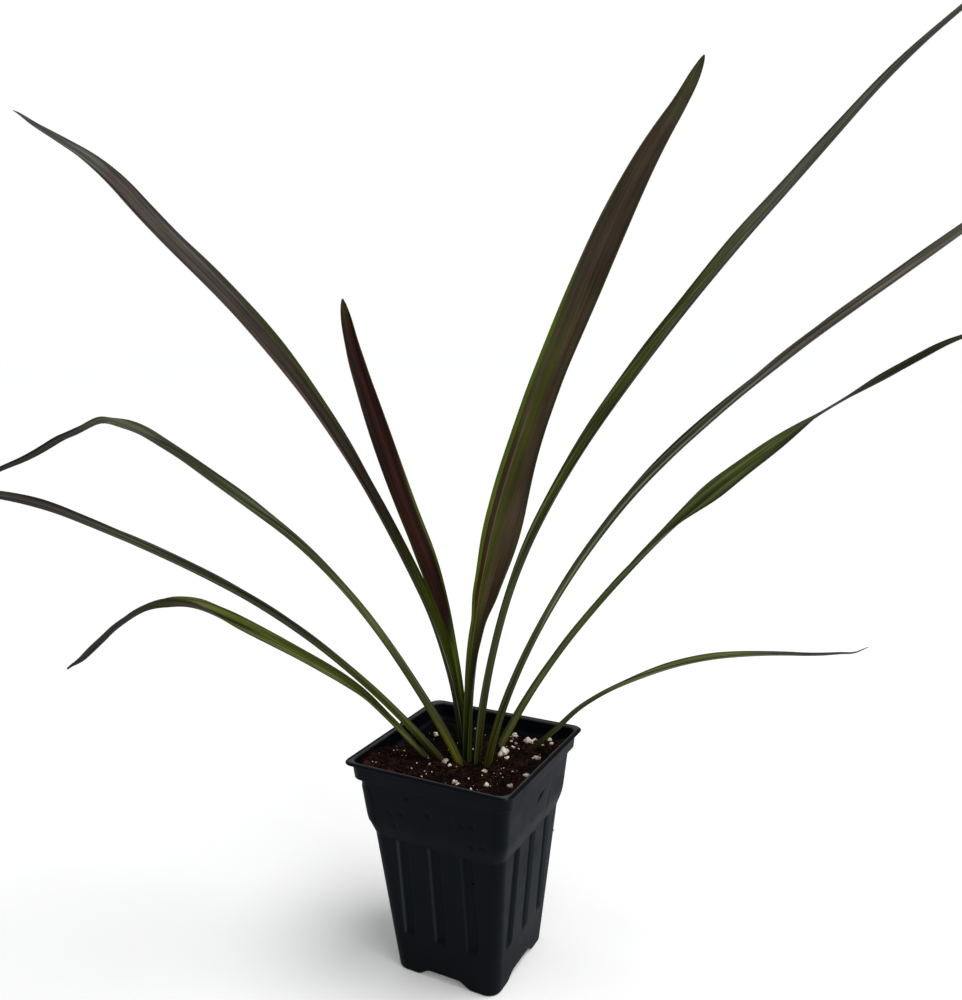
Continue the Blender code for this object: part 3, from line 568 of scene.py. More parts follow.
# Painted highlight: a grey band on the inner edge of the lip
lip_highlight = product(tree, mapped(tree, spot[2], LIP_HIGHLIGHT_Z[0] * MM, LIP_HIGHLIGHT_Z[1] * MM),
               mapped(tree, from_middle, LIP_HIGHLIGHT_HALF[0] * MM, LIP_HIGHLIGHT_HALF[1] * MM, 1.0, 0.0), cloud)
plastic = blend(tree, lip_highlight, plastic, tint("5a5c5c"))
# Painted shade in the dents, then the painted highlight along the flutes
dent_shade_flute_highlight = split(tree, stored(tree, "dent_shade_flute_highlight"))
plastic = blend(tree, dent_shade_flute_highlight[0], plastic, tint("000000"))
plastic = blend(tree, dent_shade_flute_highlight[1], plastic, tint("2e3336"))
finish(tree, plastic, mapped(tree, cloud, 0.3, 0.7, 0.40, 0.54), 0.07, speck, 0.12, 0.0002)
put("pot_shell", pot_points, pot_quads, (), pot_finish, "black_pot", ("pot",), sharp=70.0,
    attributes={"dent_shade_flute_highlight": dent_shade_flute_highlight_amounts})


# Soil: dark red-brown peat, moist and fibrous, pressed into the pot by hand to 10 mm below the lip,
# lower at the wall and in a hollow round the plant's foot, and heaped into two corners and a little
# before the stem. Crumbs stand up all over its top.
SOIL_Z = 117.0
SOIL_HUMP, SOIL_EDGE_DROP = 0.6, 1.8
BRIM_Z, BRIM_HALF = 115.8, 43.9
SOIL_RADIUS, SOIL_BASE_Z, LEDGE_Z = 6.0, 6.3, 117.4
SOIL_SIDE_POINTS, SOIL_CORNER_POINTS = 203, 17
CRUMBS = 3400
CRUMB_LONG, CRUMB_NARROW, CRUMB_TALL, CRUMB_SUNK = (0.6, 2.8), (0.35, 1.3), (0.3, 1.6), 0.25
BARE_TONE, CRUMB_FREE = 0.12, 0.02
HOLLOW_SPOT, HOLLOW_REACH, HOLLOW_DEPTH = (7.5, -1.0), (8.0, 6.0), 2.4

# Heaps are given by place, reach along X and Y, and height; spots of painted shade by place, reach
# and the share of the colour that is left; the inside of the pot's wall by its heights and half
# widths
HEAPS = ((-45.0, -28.0, 17.0, 21.0, 9.6), (46.0, 42.0, 14.0, 14.0, 4.2),
         (0.0, -8.5, 7.0, 5.0, 1.6))
SHADE_SPOTS = ((-26.0, 20.0, 30.0, 0.16), (7.0, -1.0, 11.0, 0.30), (-2.0, 46.0, 16.0, 0.25),
              (8.0, -34.0, 26.0, 0.55))
SHADE_SPOT_WANDER = 12.0
INSIDE_WALL = ((84.0, 92.0, 117.0, 118.6, 122.0, 125.4), (38.6, 41.2, 43.7, 46.2, 46.3, 46.6))
INTO_WALL = 0.15


def soil_height(x, y):
    """Height of the soil: slow waves inside, a hump in the middle and an eased drop at the wall.

    The hollow and each heap are a height times exp(-d^2), d the distance over their reach.
    """
    waves = (0.55 * np.sin(0.31 * x + 1.3) * np.cos(0.27 * y - 0.7)
             + 0.40 * np.sin(0.16 * x - 0.36 * y) + 0.25 * np.cos(0.41 * x + 0.19 * y + 2.0))
    edge = np.maximum(abs(x), abs(y)) / NECK_TOP_HALF
    waves = waves * (1.0 - ease((edge - 0.8) / 0.2))
    dip = (((x - HOLLOW_SPOT[0]) / HOLLOW_REACH[0]) ** 2
           + ((y - HOLLOW_SPOT[1]) / HOLLOW_REACH[1]) ** 2)
    heaped = sum(tall * np.exp(-((x - hx) / wide) ** 2 - ((y - hy) / deep) ** 2)
                 for hx, hy, wide, deep, tall in HEAPS)
    return (SOIL_Z + SOIL_HUMP + waves - SOIL_EDGE_DROP * ease((edge - 0.55) / 0.45)
            - HOLLOW_DEPTH * np.exp(-dip) + heaped)


def crumb_relief(x, y, draw):
    """Height of the crumbs, the largest of many low domes, and the shade of each point's dome.

    A dome is tall * sqrt(1 - a^2 - b^2), with a and b the distances along and across its length
    as shares of its half length and half width, each at its own turn, and it is a little sunk.
    """
    height, tone = np.zeros(x.shape), np.full(x.shape, BARE_TONE)
    for crumb in range(CRUMBS):
        cx, cy = draw.uniform(-BRIM_HALF, BRIM_HALF, 2)
        long, narrow, tall = (draw.uniform(*s) for s in (CRUMB_LONG, CRUMB_NARROW, CRUMB_TALL))
        turn, shade = draw.uniform(0.0, math.pi), draw.uniform(0.0, 1.0)
        reach = (abs(x - cx) < long) & (abs(y - cy) < long)
        dx, dy = x[reach] - cx, y[reach] - cy
        a = (dx * math.cos(turn) + dy * math.sin(turn)) / long
        b = (dy * math.cos(turn) - dx * math.sin(turn)) / narrow
        dome = tall * np.sqrt(np.maximum(1.0 - a * a - b * b, 0.0)) - CRUMB_SUNK
        higher = dome > height[reach]
        height[reach] = np.where(higher, dome, height[reach])
        tone[reach] = np.where(higher, shade, tone[reach])
    return height, tone


def fan(near, far, middle):
    """Triangles from each point of one row and its partner in the other to the middle point."""
    return np.stack([near, far, np.full(len(near), middle)], 1)


def new_group(name, inputs, outputs):
    """Empty node group with sockets of the names and kinds given, and its two ends inside."""
    group = bpy.data.node_groups.new(name, "ShaderNodeTree")
    for way, sockets in (('INPUT', inputs), ('OUTPUT', outputs)):
        for key, kind in sockets.items():
            group.interface.new_socket(key, in_out=way, socket_type="NodeSocket" + kind)
    return (group, group.nodes.new("NodeGroupInput").outputs,
            group.nodes.new("NodeGroupOutput").inputs)


def darkened(tree, colour, shade):
    """The colour times one number, in all three channels."""
    gray = add(tree, "ShaderNodeCombineColor", {k: shade for k in range(3)}).outputs[0]
    return blend(tree, 1.0, colour, gray, 'MULTIPLY')


def eased(tree, value, low, high, first=0.0, last=1.0):
    """The same as mapped, with level ends."""
    return mapped(tree, value, low, high, first, last, 'SMOOTHSTEP')


def crumbly_peat():
    """Node group of peat, bark and fibres: three browns by crumb with fine grain over them.

    Colour is darkened by painted shade where the peat is low between crumbs, and in spots of
    painted
    shade: by how much depends on the distance from the spot's middle as a share of its reach.
    Height is the grain.
    """
    group, given, out = new_group(
        "crumbly_peat", {"Dark": "Color", "Mid": "Color", "Light": "Color", "Shade from": "Float"},
        {"Colour": "Color", "Height": "Float"})
    place = object_place(group)
    tone, tall = split(group, stored(group, "tone"))[:2]
    fine = noise(group, place, 1400.0, 3.0)
    patch = noise(group, place, 120.0, 3.0)
    spread = times_plus(group, patch, 0.9, times_plus(group, fine, 0.5, tone))
    colour = blend(group, mapped(group, spread, 0.60, 1.22), given["Dark"], given["Mid"])
    colour = blend(group, mapped(group, spread, 1.22, 1.72), colour, given["Light"])
    # Painted shade where the peat is low between the crumbs
    shade = mapped(group, tall, 0.0, 0.8, given["Shade from"], 1.0)
    flat = add(group, "ShaderNodeVectorMath", {0: place, 1: (1.0, 1.0, 0.0)},
               operation='MULTIPLY').outputs[0]
    # Spots of painted shade, darkest at their middles, with edges that wander with the patches
    for spot_x, spot_y, reach, shade_left in SHADE_SPOTS:
        away = add(group, "ShaderNodeVectorMath", {0: flat, 1: (spot_x * MM, spot_y * MM, 0.0)},
                   operation='DISTANCE').outputs["Value"]
        wavy = times_plus(group, patch, SHADE_SPOT_WANDER * MM, away)
        spot_shade = eased(group, wavy, reach * 0.7 * MM, reach * 1.3 * MM, shade_left)
        shade = product(group, shade, spot_shade)
    group.links.new(darkened(group, colour, shade), out["Colour"])
    group.links.new(fine, out["Height"])
    return group


def peat_finish(name, dark, mid, light, shade_from):
    """One of the three finishes that use the peat group, each with its own browns."""
    material, tree = new_material(name)
    look = add(tree, "ShaderNodeGroup", node_tree=peat_group, sockets={
        "Dark": tint(dark), "Mid": tint(mid), "Light": tint(light),
        "Shade from": shade_from}).outputs
    finish(tree, look["Colour"], 0.85, 0.08, look["Height"], 0.8, 0.0004)
    return material


# The plug's wall, as half width and height from the bottom up. At the top it reaches to the
# inside of the pot's wall, at whatever height the soil has there.
peat_group = crumbly_peat()
soil_draw = np.random.default_rng(41)
wall_steps = ((BASE_HALF - 3.0, SOIL_BASE_Z), (BODY_TOP_HALF - 2.9, BODY_TOP_Z),
              (SHOULDER_HALF - 1.4, SHOULDER_Z + 1.0), (BRIM_HALF - 0.2, BRIM_Z - 3.0),
              (BRIM_HALF - 0.1, BRIM_Z - 0.6), (BRIM_HALF, BRIM_Z))
halves, heights = np.array(wall_steps).T[..., None]
straight_half = BRIM_HALF - SOIL_RADIUS
side = np.linspace(-straight_half, straight_half, SOIL_SIDE_POINTS)[None, :]
side = side * (halves - SOIL_RADIUS) / straight_half
plug = square_rings(halves, SOIL_RADIUS, side, SOIL_CORNER_POINTS)
brim = soil_height(plug[-1, :, 0], plug[-1, :, 1])
heights = heights + np.zeros(plug.shape[:2])
heights[-2] = np.minimum(brim - 0.3, LEDGE_Z)
out_to = halves + np.zeros(plug.shape[:2])
out_to[-1] = np.interp(brim, *INSIDE_WALL) + INTO_WALL
plug = square_rings(out_to, SOIL_RADIUS, side, SOIL_CORNER_POINTS)
heights[-1] = soil_height(plug[-1, :, 0], plug[-1, :, 1])
plug_points = np.dstack([plug, heights])
plug_net = closed_rows(len(wall_steps), plug.shape[1])
top_xy = drawn_in(plug[-1], SOIL_SIDE_POINTS, SOIL_CORNER_POINTS)
x, y = top_xy[..., 0], top_xy[..., 1]
crumbs, crumb_tone = crumb_relief(x, y, soil_draw)
inward = ease((1.0 - np.maximum(abs(x), abs(y)) / BRIM_HALF) / CRUMB_FREE)
soil_top = np.dstack([x, y, soil_height(x, y) + crumbs * inward])
first_top = plug_points[..., 0].size
top_net = net_numbers(plug_net[-1, :-1], first_top, SOIL_SIDE_POINTS, SOIL_CORNER_POINTS)
soil_points = np.vstack([plug_points.reshape(-1, 3), soil_top[1:-1, 1:-1].reshape(-1, 3),
                         [[0.0, 0.0, SOIL_BASE_Z]]])
base_fan = fan(plug_net[0, 1:], plug_net[0, :-1], len(soil_points) - 1)
tones = np.zeros((len(soil_points), 3))
tones[first_top:-1, 0] = crumb_tone[1:-1, 1:-1].ravel()
tones[first_top:-1, 1] = crumbs[1:-1, 1:-1].ravel()
put("soil_bed", soil_points, np.vstack([net_faces(plug_net), net_faces(top_net)]), base_fan,
    peat_finish("moist_peat", "040100", "150603", "3a1b12", 0.18), "peat", ("soil",), sharp=60.0,
    attributes={"tone": tones})


# Chips and fibres: bark flakes, short sticks and root hairs lie loose on the peat, some half
# buried and some raised at one end.
CHIPS, CHIP_LONG, CHIP_REACH = 240, (1.0, 3.2), 42.0
CHIP_ROWS, CHIP_ROUND, CHIP_LUMPS = 5, 8, 0.10
FIBRES, FIBRE_LONG, FIBRE_RADIUS = 620, (3.0, 11.0), (0.05, 0.14)
FIBRE_REACH, FIBRE_LIMIT = 41.0, 42.5
FIBRE_STEPS, FIBRE_SIDES = 9, 5


def end_fans(net, first_middle, last_middle):
    """Triangles that close the first and the last row of a closed net, each to one point."""
    return np.vstack([fan(net[0, 1:], net[0, :-1], first_middle),
                      fan(net[-1, :-1], net[-1, 1:], last_middle)])


def tones_of(tone):
    """What the peat finishes read at each point of a loose piece: its own tone, and no hollows."""
    return {"tone": np.column_stack([tone, np.ones((len(tone), 2))])}


def repeated(faces, count, each):
    """The faces of one shape, for all of count shapes that have the same number of points."""
    return (faces[None] + (np.arange(count) * each)[:, None, None]).reshape(-1, faces.shape[1])


def pebbles(centres, sizes, turns, rows, round_points, lumps, draw):
    """Lumpy ellipsoids as one mesh: points, quads and the triangles at their poles.

    On each, at polar angle p and angle q round it, the radius is 1 plus three sine bumps of its
    own direction; then it is stretched to its sizes and turned by its three angles.
    """
    p = (np.arange(rows) + 1.0)[:, None] * math.pi / (rows + 1.0)
    q = np.arange(round_points)[None, :] * 2.0 * math.pi / round_points
    ball = np.stack([np.sin(p) * np.cos(q), np.sin(p) * np.sin(q), np.cos(p) + 0.0 * q], -1)
    ball = np.vstack([ball.reshape(-1, 3), [[0.0, 0.0, 1.0], [0.0, 0.0, -1.0]]])
    count = len(centres)
    waves = draw.normal(0.0, 2.4, (count, 3, 3))
    phases = draw.uniform(0.0, 2.0 * math.pi, (count, 1, 3))
    bumps = np.sin(np.einsum('pk,nkj->npj', ball, waves) + phases).sum(axis=2)
    shaped = ball[None] * (1.0 + lumps * bumps[..., None]) * np.asarray(sizes)[:, None, :] / 2.0
    for axis in range(3):
        c, s = np.cos(turns[:, axis])[:, None], np.sin(turns[:, axis])[:, None]
        i, j = ((1, 2), (0, 2), (0, 1))[axis]
        a, b = shaped[..., i] * c - shaped[..., j] * s, shaped[..., i] * s + shaped[..., j] * c
        shaped[..., i], shaped[..., j] = a, b
    points = (shaped + np.asarray(centres)[:, None, :]).reshape(-1, 3)
    net = closed_rows(rows, round_points)
    poles = end_fans(net, rows * round_points, rows * round_points + 1)
    return points, repeated(net_faces(net), count, len(ball)), repeated(poles, count, len(ball))


chip_xy = soil_draw.uniform(-CHIP_REACH, CHIP_REACH, (CHIPS, 2))
chip_long = soil_draw.uniform(*CHIP_LONG, CHIPS)
chip_sizes = np.stack([chip_long, chip_long * soil_draw.uniform(0.25, 0.55, CHIPS),
                       chip_long * soil_draw.uniform(0.12, 0.3, CHIPS)], 1)
chip_turns = np.stack([soil_draw.normal(0.0, 0.35, CHIPS), soil_draw.normal(0.0, 0.3, CHIPS),
                       soil_draw.uniform(0.0, math.pi, CHIPS)], 1)
chip_z = soil_height(*chip_xy.T) + soil_draw.uniform(0.3, 1.1, CHIPS)
chips = pebbles(np.column_stack([chip_xy, chip_z]), chip_sizes, chip_turns, CHIP_ROWS,
                CHIP_ROUND, CHIP_LUMPS, soil_draw)
chip_tone = np.repeat(soil_draw.uniform(0.0, 1.1, CHIPS), CHIP_ROWS * CHIP_ROUND + 2)
put("bark_chips", *chips, peat_finish("bark", "070302", "190a06", "382016", 1.0), "peat",
    sharp=30.0, attributes=tones_of(chip_tone))

# A fibre's middle line bends by two sines, lies on the soil and may arch; it thins to both ends
t = np.linspace(0.0, 1.0, FIBRE_STEPS)[None, :]
start_x, start_y = soil_draw.uniform(-FIBRE_REACH, FIBRE_REACH, (2, FIBRES, 1))
turn = soil_draw.uniform(0.0, 2.0 * math.pi, (FIBRES, 1))
length = soil_draw.uniform(*FIBRE_LONG, (FIBRES, 1))
bend, curl = soil_draw.normal(0.0, 0.16, (2, FIBRES, 1))
forward = length * (t - 0.5)
sideways = length * (bend * np.sin(math.pi * t) + curl * 0.4 * np.sin(2.0 * math.pi * t))
fibre_x = np.clip(start_x + np.cos(turn) * forward - np.sin(turn) * sideways,
                  -FIBRE_LIMIT, FIBRE_LIMIT)
fibre_y = np.clip(start_y + np.sin(turn) * forward + np.cos(turn) * sideways,
                  -FIBRE_LIMIT, FIBRE_LIMIT)
arch = soil_draw.uniform(0.0, 0.9, (FIBRES, 1)) * np.sin(math.pi * t) ** 2
fibre_z = soil_height(fibre_x, fibre_y) + soil_draw.uniform(0.1, 0.9, (FIBRES, 1)) + arch
thick = soil_draw.uniform(*FIBRE_RADIUS, (FIBRES, 1)) * (0.35 + 0.65 * np.sin(math.pi * t) ** 0.5)
angle = np.arange(FIBRE_SIDES) * 2.0 * math.pi / FIBRE_SIDES
ring = thick[..., None] * np.cos(angle)
fibre_points = np.stack([fibre_x[..., None] - np.sin(turn)[..., None] * ring,
                         fibre_y[..., None] + np.cos(turn)[..., None] * ring,
                         fibre_z[..., None] + thick[..., None] * np.sin(angle)], -1)
ends = np.stack([fibre_points[:, 0].mean(axis=1), fibre_points[:, -1].mean(axis=1)], 1)
each = FIBRE_STEPS * FIBRE_SIDES + 2
fibre_points = np.concatenate([fibre_points.reshape(FIBRES, -1, 3), ends], axis=1).reshape(-1, 3)
net = closed_rows(FIBRE_STEPS, FIBRE_SIDES)
fibre_tone = np.repeat(soil_draw.uniform(0.1, 1.3, FIBRES), each)
put("peat_fibres", fibre_points, repeated(net_faces(net), FIBRES, each),
    repeated(end_fans(net, each - 2, each - 1), FIBRES, each),
    peat_finish("fibre", "0c0503", "23110b", "482c1e", 1.0), "peat", sharp=60.0,
    attributes=tones_of(fibre_tone))


# Perlite: cream-white puffed mineral grains mixed through the peat, the large ones placed as they
# lie in the photograph and the small ones and specks by a seeded rule. Large grains are given by
# place and width, small spots by place.
LARGE_GRAINS = ((15.2, 14.8, 6.6), (20.0, 9.2, 3.2), (19.6, 37.2, 5.0), (22.6, 40.4, 2.8),
                (9.0, 42.0, 4.4), (12.1, 30.8, 2.4), (15.0, 30.5, 2.2), (17.1, 22.5, 2.6),
                (31.3, 42.0, 4.0), (35.2, 36.5, 2.8), (31.2, 33.1, 2.4), (34.5, 18.4, 4.0),
                (37.5, -2.9, 3.2), (35.4, -18.1, 3.6), (24.3, -24.1, 2.6), (16.2, -10.6, 3.0),
                (-8.5, -10.8, 4.0), (-4.6, -12.6, 2.6), (7.0, -28.1, 3.0), (10.0, -29.3, 2.4),
                (-34.0, 22.8, 3.2), (-31.0, 18.6, 3.0), (-15.5, 41.0, 2.8))
SMALL_SPOTS = ((-23.9, -9.8), (-34.2, -11.8), (-21.2, -19.7), (-20.5, -26.2), (-15.2, -16.1),
               (-9.4, -23.6), (-11.6, -30.4), (22.2, -2.2), (29.8, -4.2), (11.5, -20.1),
               (18.2, -30.2), (40.4, 14.7))
SMALL_GRAINS, SMALL_GRAIN_WIDTH, SMALL_GRAIN_REACH = 16, (0.8, 1.5), 40.0
SPECKS, SPECK_WIDTH, SPECK_REACH = 60, (0.3, 0.8), 42.0
PUFF_WIDTHS, PUFF_OUT = (0.86, 0.58, 0.48), 0.36
GRAIN_SQUASH, SPECK_SQUASH = (0.70, 1.05), (0.6, 1.1)
GRAIN_LIFT, GRAIN_LIFT_SHARE, SPECK_LIFT = 0.5, 0.10, (0.5, 1.1)
GRAIN_SHAPE, SPECK_SHAPE, FLASH_SHAPE = (15, 22, 0.10), (5, 8, 0.09), (9, 14, 0.14)
FLASH_SIZES = ((1.5, 0.9, 2.0), (1.0, 1.0, 1.6))
FLASH_ALONG, FLASH_HIGH_Z, FLASH_LOW_Z, FLASH_CORNER = 22.4, 68.8, 67.0, (0.12, 0.54)

# Every large grain is three puffs grown together: the main one and two smaller at its sides. A
# shape is the pebble's rows, its points round and how lumpy it is.
small_xy = np.vstack([SMALL_SPOTS, soil_draw.uniform(-SMALL_GRAIN_REACH, SMALL_GRAIN_REACH,
                                                     (SMALL_GRAINS, 2))])
small_width = soil_draw.uniform(*SMALL_GRAIN_WIDTH, len(small_xy))
large = np.array(LARGE_GRAINS)
puff_turn = soil_draw.uniform(0.0, 2.0 * math.pi, (2, len(large), 1))
puff_way = np.concatenate([np.cos(puff_turn), np.sin(puff_turn)], axis=2) * PUFF_OUT
puff_xy = [large[:, :2] + way * large[:, 2:] for way in puff_way]
grain_xy = np.vstack([large[:, :2], *puff_xy, small_xy])
grain_width = np.concatenate([*(large[:, 2] * width for width in PUFF_WIDTHS), small_width])
count = len(grain_width)
grain_sizes = grain_width[:, None] * soil_draw.uniform(*GRAIN_SQUASH, (count, 3))
grain_z = soil_height(*grain_xy.T) + GRAIN_LIFT + grain_width * GRAIN_LIFT_SHARE
grains = pebbles(np.column_stack([grain_xy, grain_z]), grain_sizes,
                 soil_draw.uniform(0.0, math.pi, (count, 3)), *GRAIN_SHAPE, soil_draw)
perlite_finish, tree = new_material("perlite")
place = object_place(tree)
pits = add(tree, "ShaderNodeTexVoronoi", {"Vector": place, "Scale": 1500.0}).outputs["Distance"]
stained = mapped(tree, noise(tree, place, 260.0, 4.0), 0.46, 0.66, 0.0, 0.85)
colour = blend(tree, stained, tint("e2d8c6"), tint("7d624c"))
finish(tree, colour, 0.9, 0.2, pits, 0.6, 0.0004)
put("perlite_grains", *grains, perlite_finish, "peat")

# Two crumbs of flash that the mould left: on the pot's wall, and low on a corner
high_half = body_half(FLASH_HIGH_Z)
corner_x, corner_y = (body_half(FLASH_LOW_Z) - CORNER_RADIUS * part for part in FLASH_CORNER)
flash_at = np.array(((FLASH_ALONG, -high_half, FLASH_HIGH_Z), (corner_x, corner_y, FLASH_LOW_Z)))
flash = pebbles(flash_at, FLASH_SIZES, soil_draw.uniform(0.0, math.pi, (2, 3)), *FLASH_SHAPE,
                soil_draw)
put("pot_flash", *flash, pot_finish, "black_pot")

# Specks lie all over the soil, a little higher or lower
speck_xy = soil_draw.uniform(-SPECK_REACH, SPECK_REACH, (SPECKS, 2))
speck_width = soil_draw.uniform(*SPECK_WIDTH, SPECKS)
speck_sizes = speck_width[:, None] * soil_draw.uniform(*SPECK_SQUASH, (SPECKS, 3))
speck_z = soil_height(*speck_xy.T) + soil_draw.uniform(*SPECK_LIFT, SPECKS)
specks = pebbles(np.column_stack([speck_xy, speck_z]), speck_sizes,
                 soil_draw.uniform(0.0, math.pi, (SPECKS, 3)), *SPECK_SHAPE, soil_draw)
put("perlite_specks", *specks, perlite_finish, "peat")


# Stem: the plant's short woody stem, with a little peat over it, that six leaves stand on. Its
# top is ringed by the scars and dry sheaths of older leaves.
CROWN_SPOT, CROWN_RADII = (4.4, 0.0), (10.8, 9.5)
CROWN_TOP_Z, CROWN_HEIGHT, CROWN_DOME = 113.5, 10.0, 1.06
SHEATH_RINGS, SHEATH_DEEP = 5, 0.3
STEM_ROUND, TOP_RINGS = 96, 30
FAN_TURN = math.radians(28.0)

# The profile's two numbers are shares of the stem's radius and height. Sine rings cut into the
# top, and two sine ripples run round the stem.
profile = rounded_path(((0.05, 0.0), (1.0, 0.0), (1.0, 1.0), (0.05, CROWN_DOME)), (0.12, 0.3), 7)
profile = np.vstack([profile[:-1], np.linspace(profile[-2], profile[-1], TOP_RINGS)[1:]])
q = np.linspace(0.0, 2.0 * math.pi, STEM_ROUND, endpoint=False)[None, :]
out, tall = profile[:, :1], profile[:, 1:]
scars = np.abs(np.sin(out * SHEATH_RINGS * math.pi + 0.5 * np.sin(2.0 * q))) * (tall > 0.9)
ripple = 1.0 + 0.02 * np.sin(9.0 * q + 3.0 * tall) + 0.015 * np.sin(17.0 * q)
stem_z = (CROWN_TOP_Z - CROWN_HEIGHT + CROWN_HEIGHT * tall / CROWN_DOME
          - SHEATH_DEEP * scars)
stem_points = np.stack([CROWN_SPOT[0] + CROWN_RADII[0] * out * ripple * np.cos(q),
                        CROWN_SPOT[1] + CROWN_RADII[1] * out * ripple * np.sin(q), stem_z], -1)
ends = np.stack([stem_points[0].mean(axis=0), stem_points[-1].mean(axis=0)])
net = closed_rows(len(profile), STEM_ROUND)
last = len(profile) * STEM_ROUND + 1
stem_finish, tree = new_material("dry_stem")
lines = noise(tree, object_place(tree), 700.0, 3.0)
colour = blend(tree, lines, tint("1c120a"), tint("4a3a20"))
finish(tree, colour, 0.75, 0.2, lines, 0.6, 0.0003)
turn_c, turn_s = math.cos(FAN_TURN), math.sin(FAN_TURN)
FAN = np.array([[turn_c, turn_s, 0.0], [-turn_s, turn_c, 0.0], [0.0, 0.0, 1.0]])
put("stem_top", np.vstack([stem_points.reshape(-1, 3), ends]) @ FAN, net_faces(net),
    end_fans(net, last - 1, last), stem_finish, "dark_stem", ("crown",))


# Leaves: long folded straps that each stand on a fleshy channelled stalk, tough and satin, with a
# rib along the fold, many fine veins beside it and a thin margin. Six grow from the plant's short
# stem, four from the soil beside it, all in a fan turned 28 degrees from the pot's side.
# The foot goes down to the stem's top or to a depth, by rings at shares of the way. The blade has
# a thickness at the rib, by share of the length, and one at the margin. The stalk's U turns into
# the blade's V, and its flesh runs out, over a little more of the length than the stalk has.
FOOT_Z, FOOT_DEPTH, FOOT_SHARES, FOOT_RUN_END = 113.8, 8.0, (1.0, 0.75, 0.5, 0.25), -1.0
SOFTENED_POINTS, SOFTENED_FALL = 9, 0.8
SOFT_FOLD, FOLD_SEAT = 0.25, 0.4
TURN_STARTS, TURN_PAST, FLESH_PAST = 0.02, 0.08, 0.12
RIB_THICK = ((0.0, 0.3, 0.9, 1.0), (1.15, 0.9, 0.7, 0.3))
MARGIN_THICK, MARGIN_THINS, MARGIN_OUT = 0.32, 1.5, 0.4
TIP_HALF, TIP_POINT = 0.12, 0.3
TIP_RUN, TIP_BLUNT = 2.2, 0.65
FLESH = 2.1
RIB_KEEL, KEEL_WIDTH = 0.34, 0.10
CHANNEL_DEPTH, CHANNEL_WIDTH = 0.14, 0.05
VEIN_HEIGHT, VEINS_EACH_SIDE, VEINS_FULL_HALF = 0.035, 7.0, 6.0
WAVE_HEIGHT, WAVE_LONG, RIPPLE_LONG, RIPPLE_SHARE = 0.016, (46.0, 70.0), 17.0, 0.4
ACROSS_POINTS = 57
RING_STEP, RIB_STEPS = 2.6, 3000
ZONE_STREAKS, ZONE_CLOUD = (420.0, 6.0, 2.0), (110.0, 24.0, 3.0)
FINE_VEINS, VEIN_BANDS = (2300.0, 14.0, 2.0), (780.0, 7.0, 1.0)
BROAD_BANDS, VEIN_CLOUD = (300.0, 8.0, 2.0), (120.0, 40.0, 3.0)
LEAVES_APART = 3.7
MARGIN_SHOWS, STRIP_SHOWS = 0.8, 0.9
LEFT, RIGHT = -1, 1

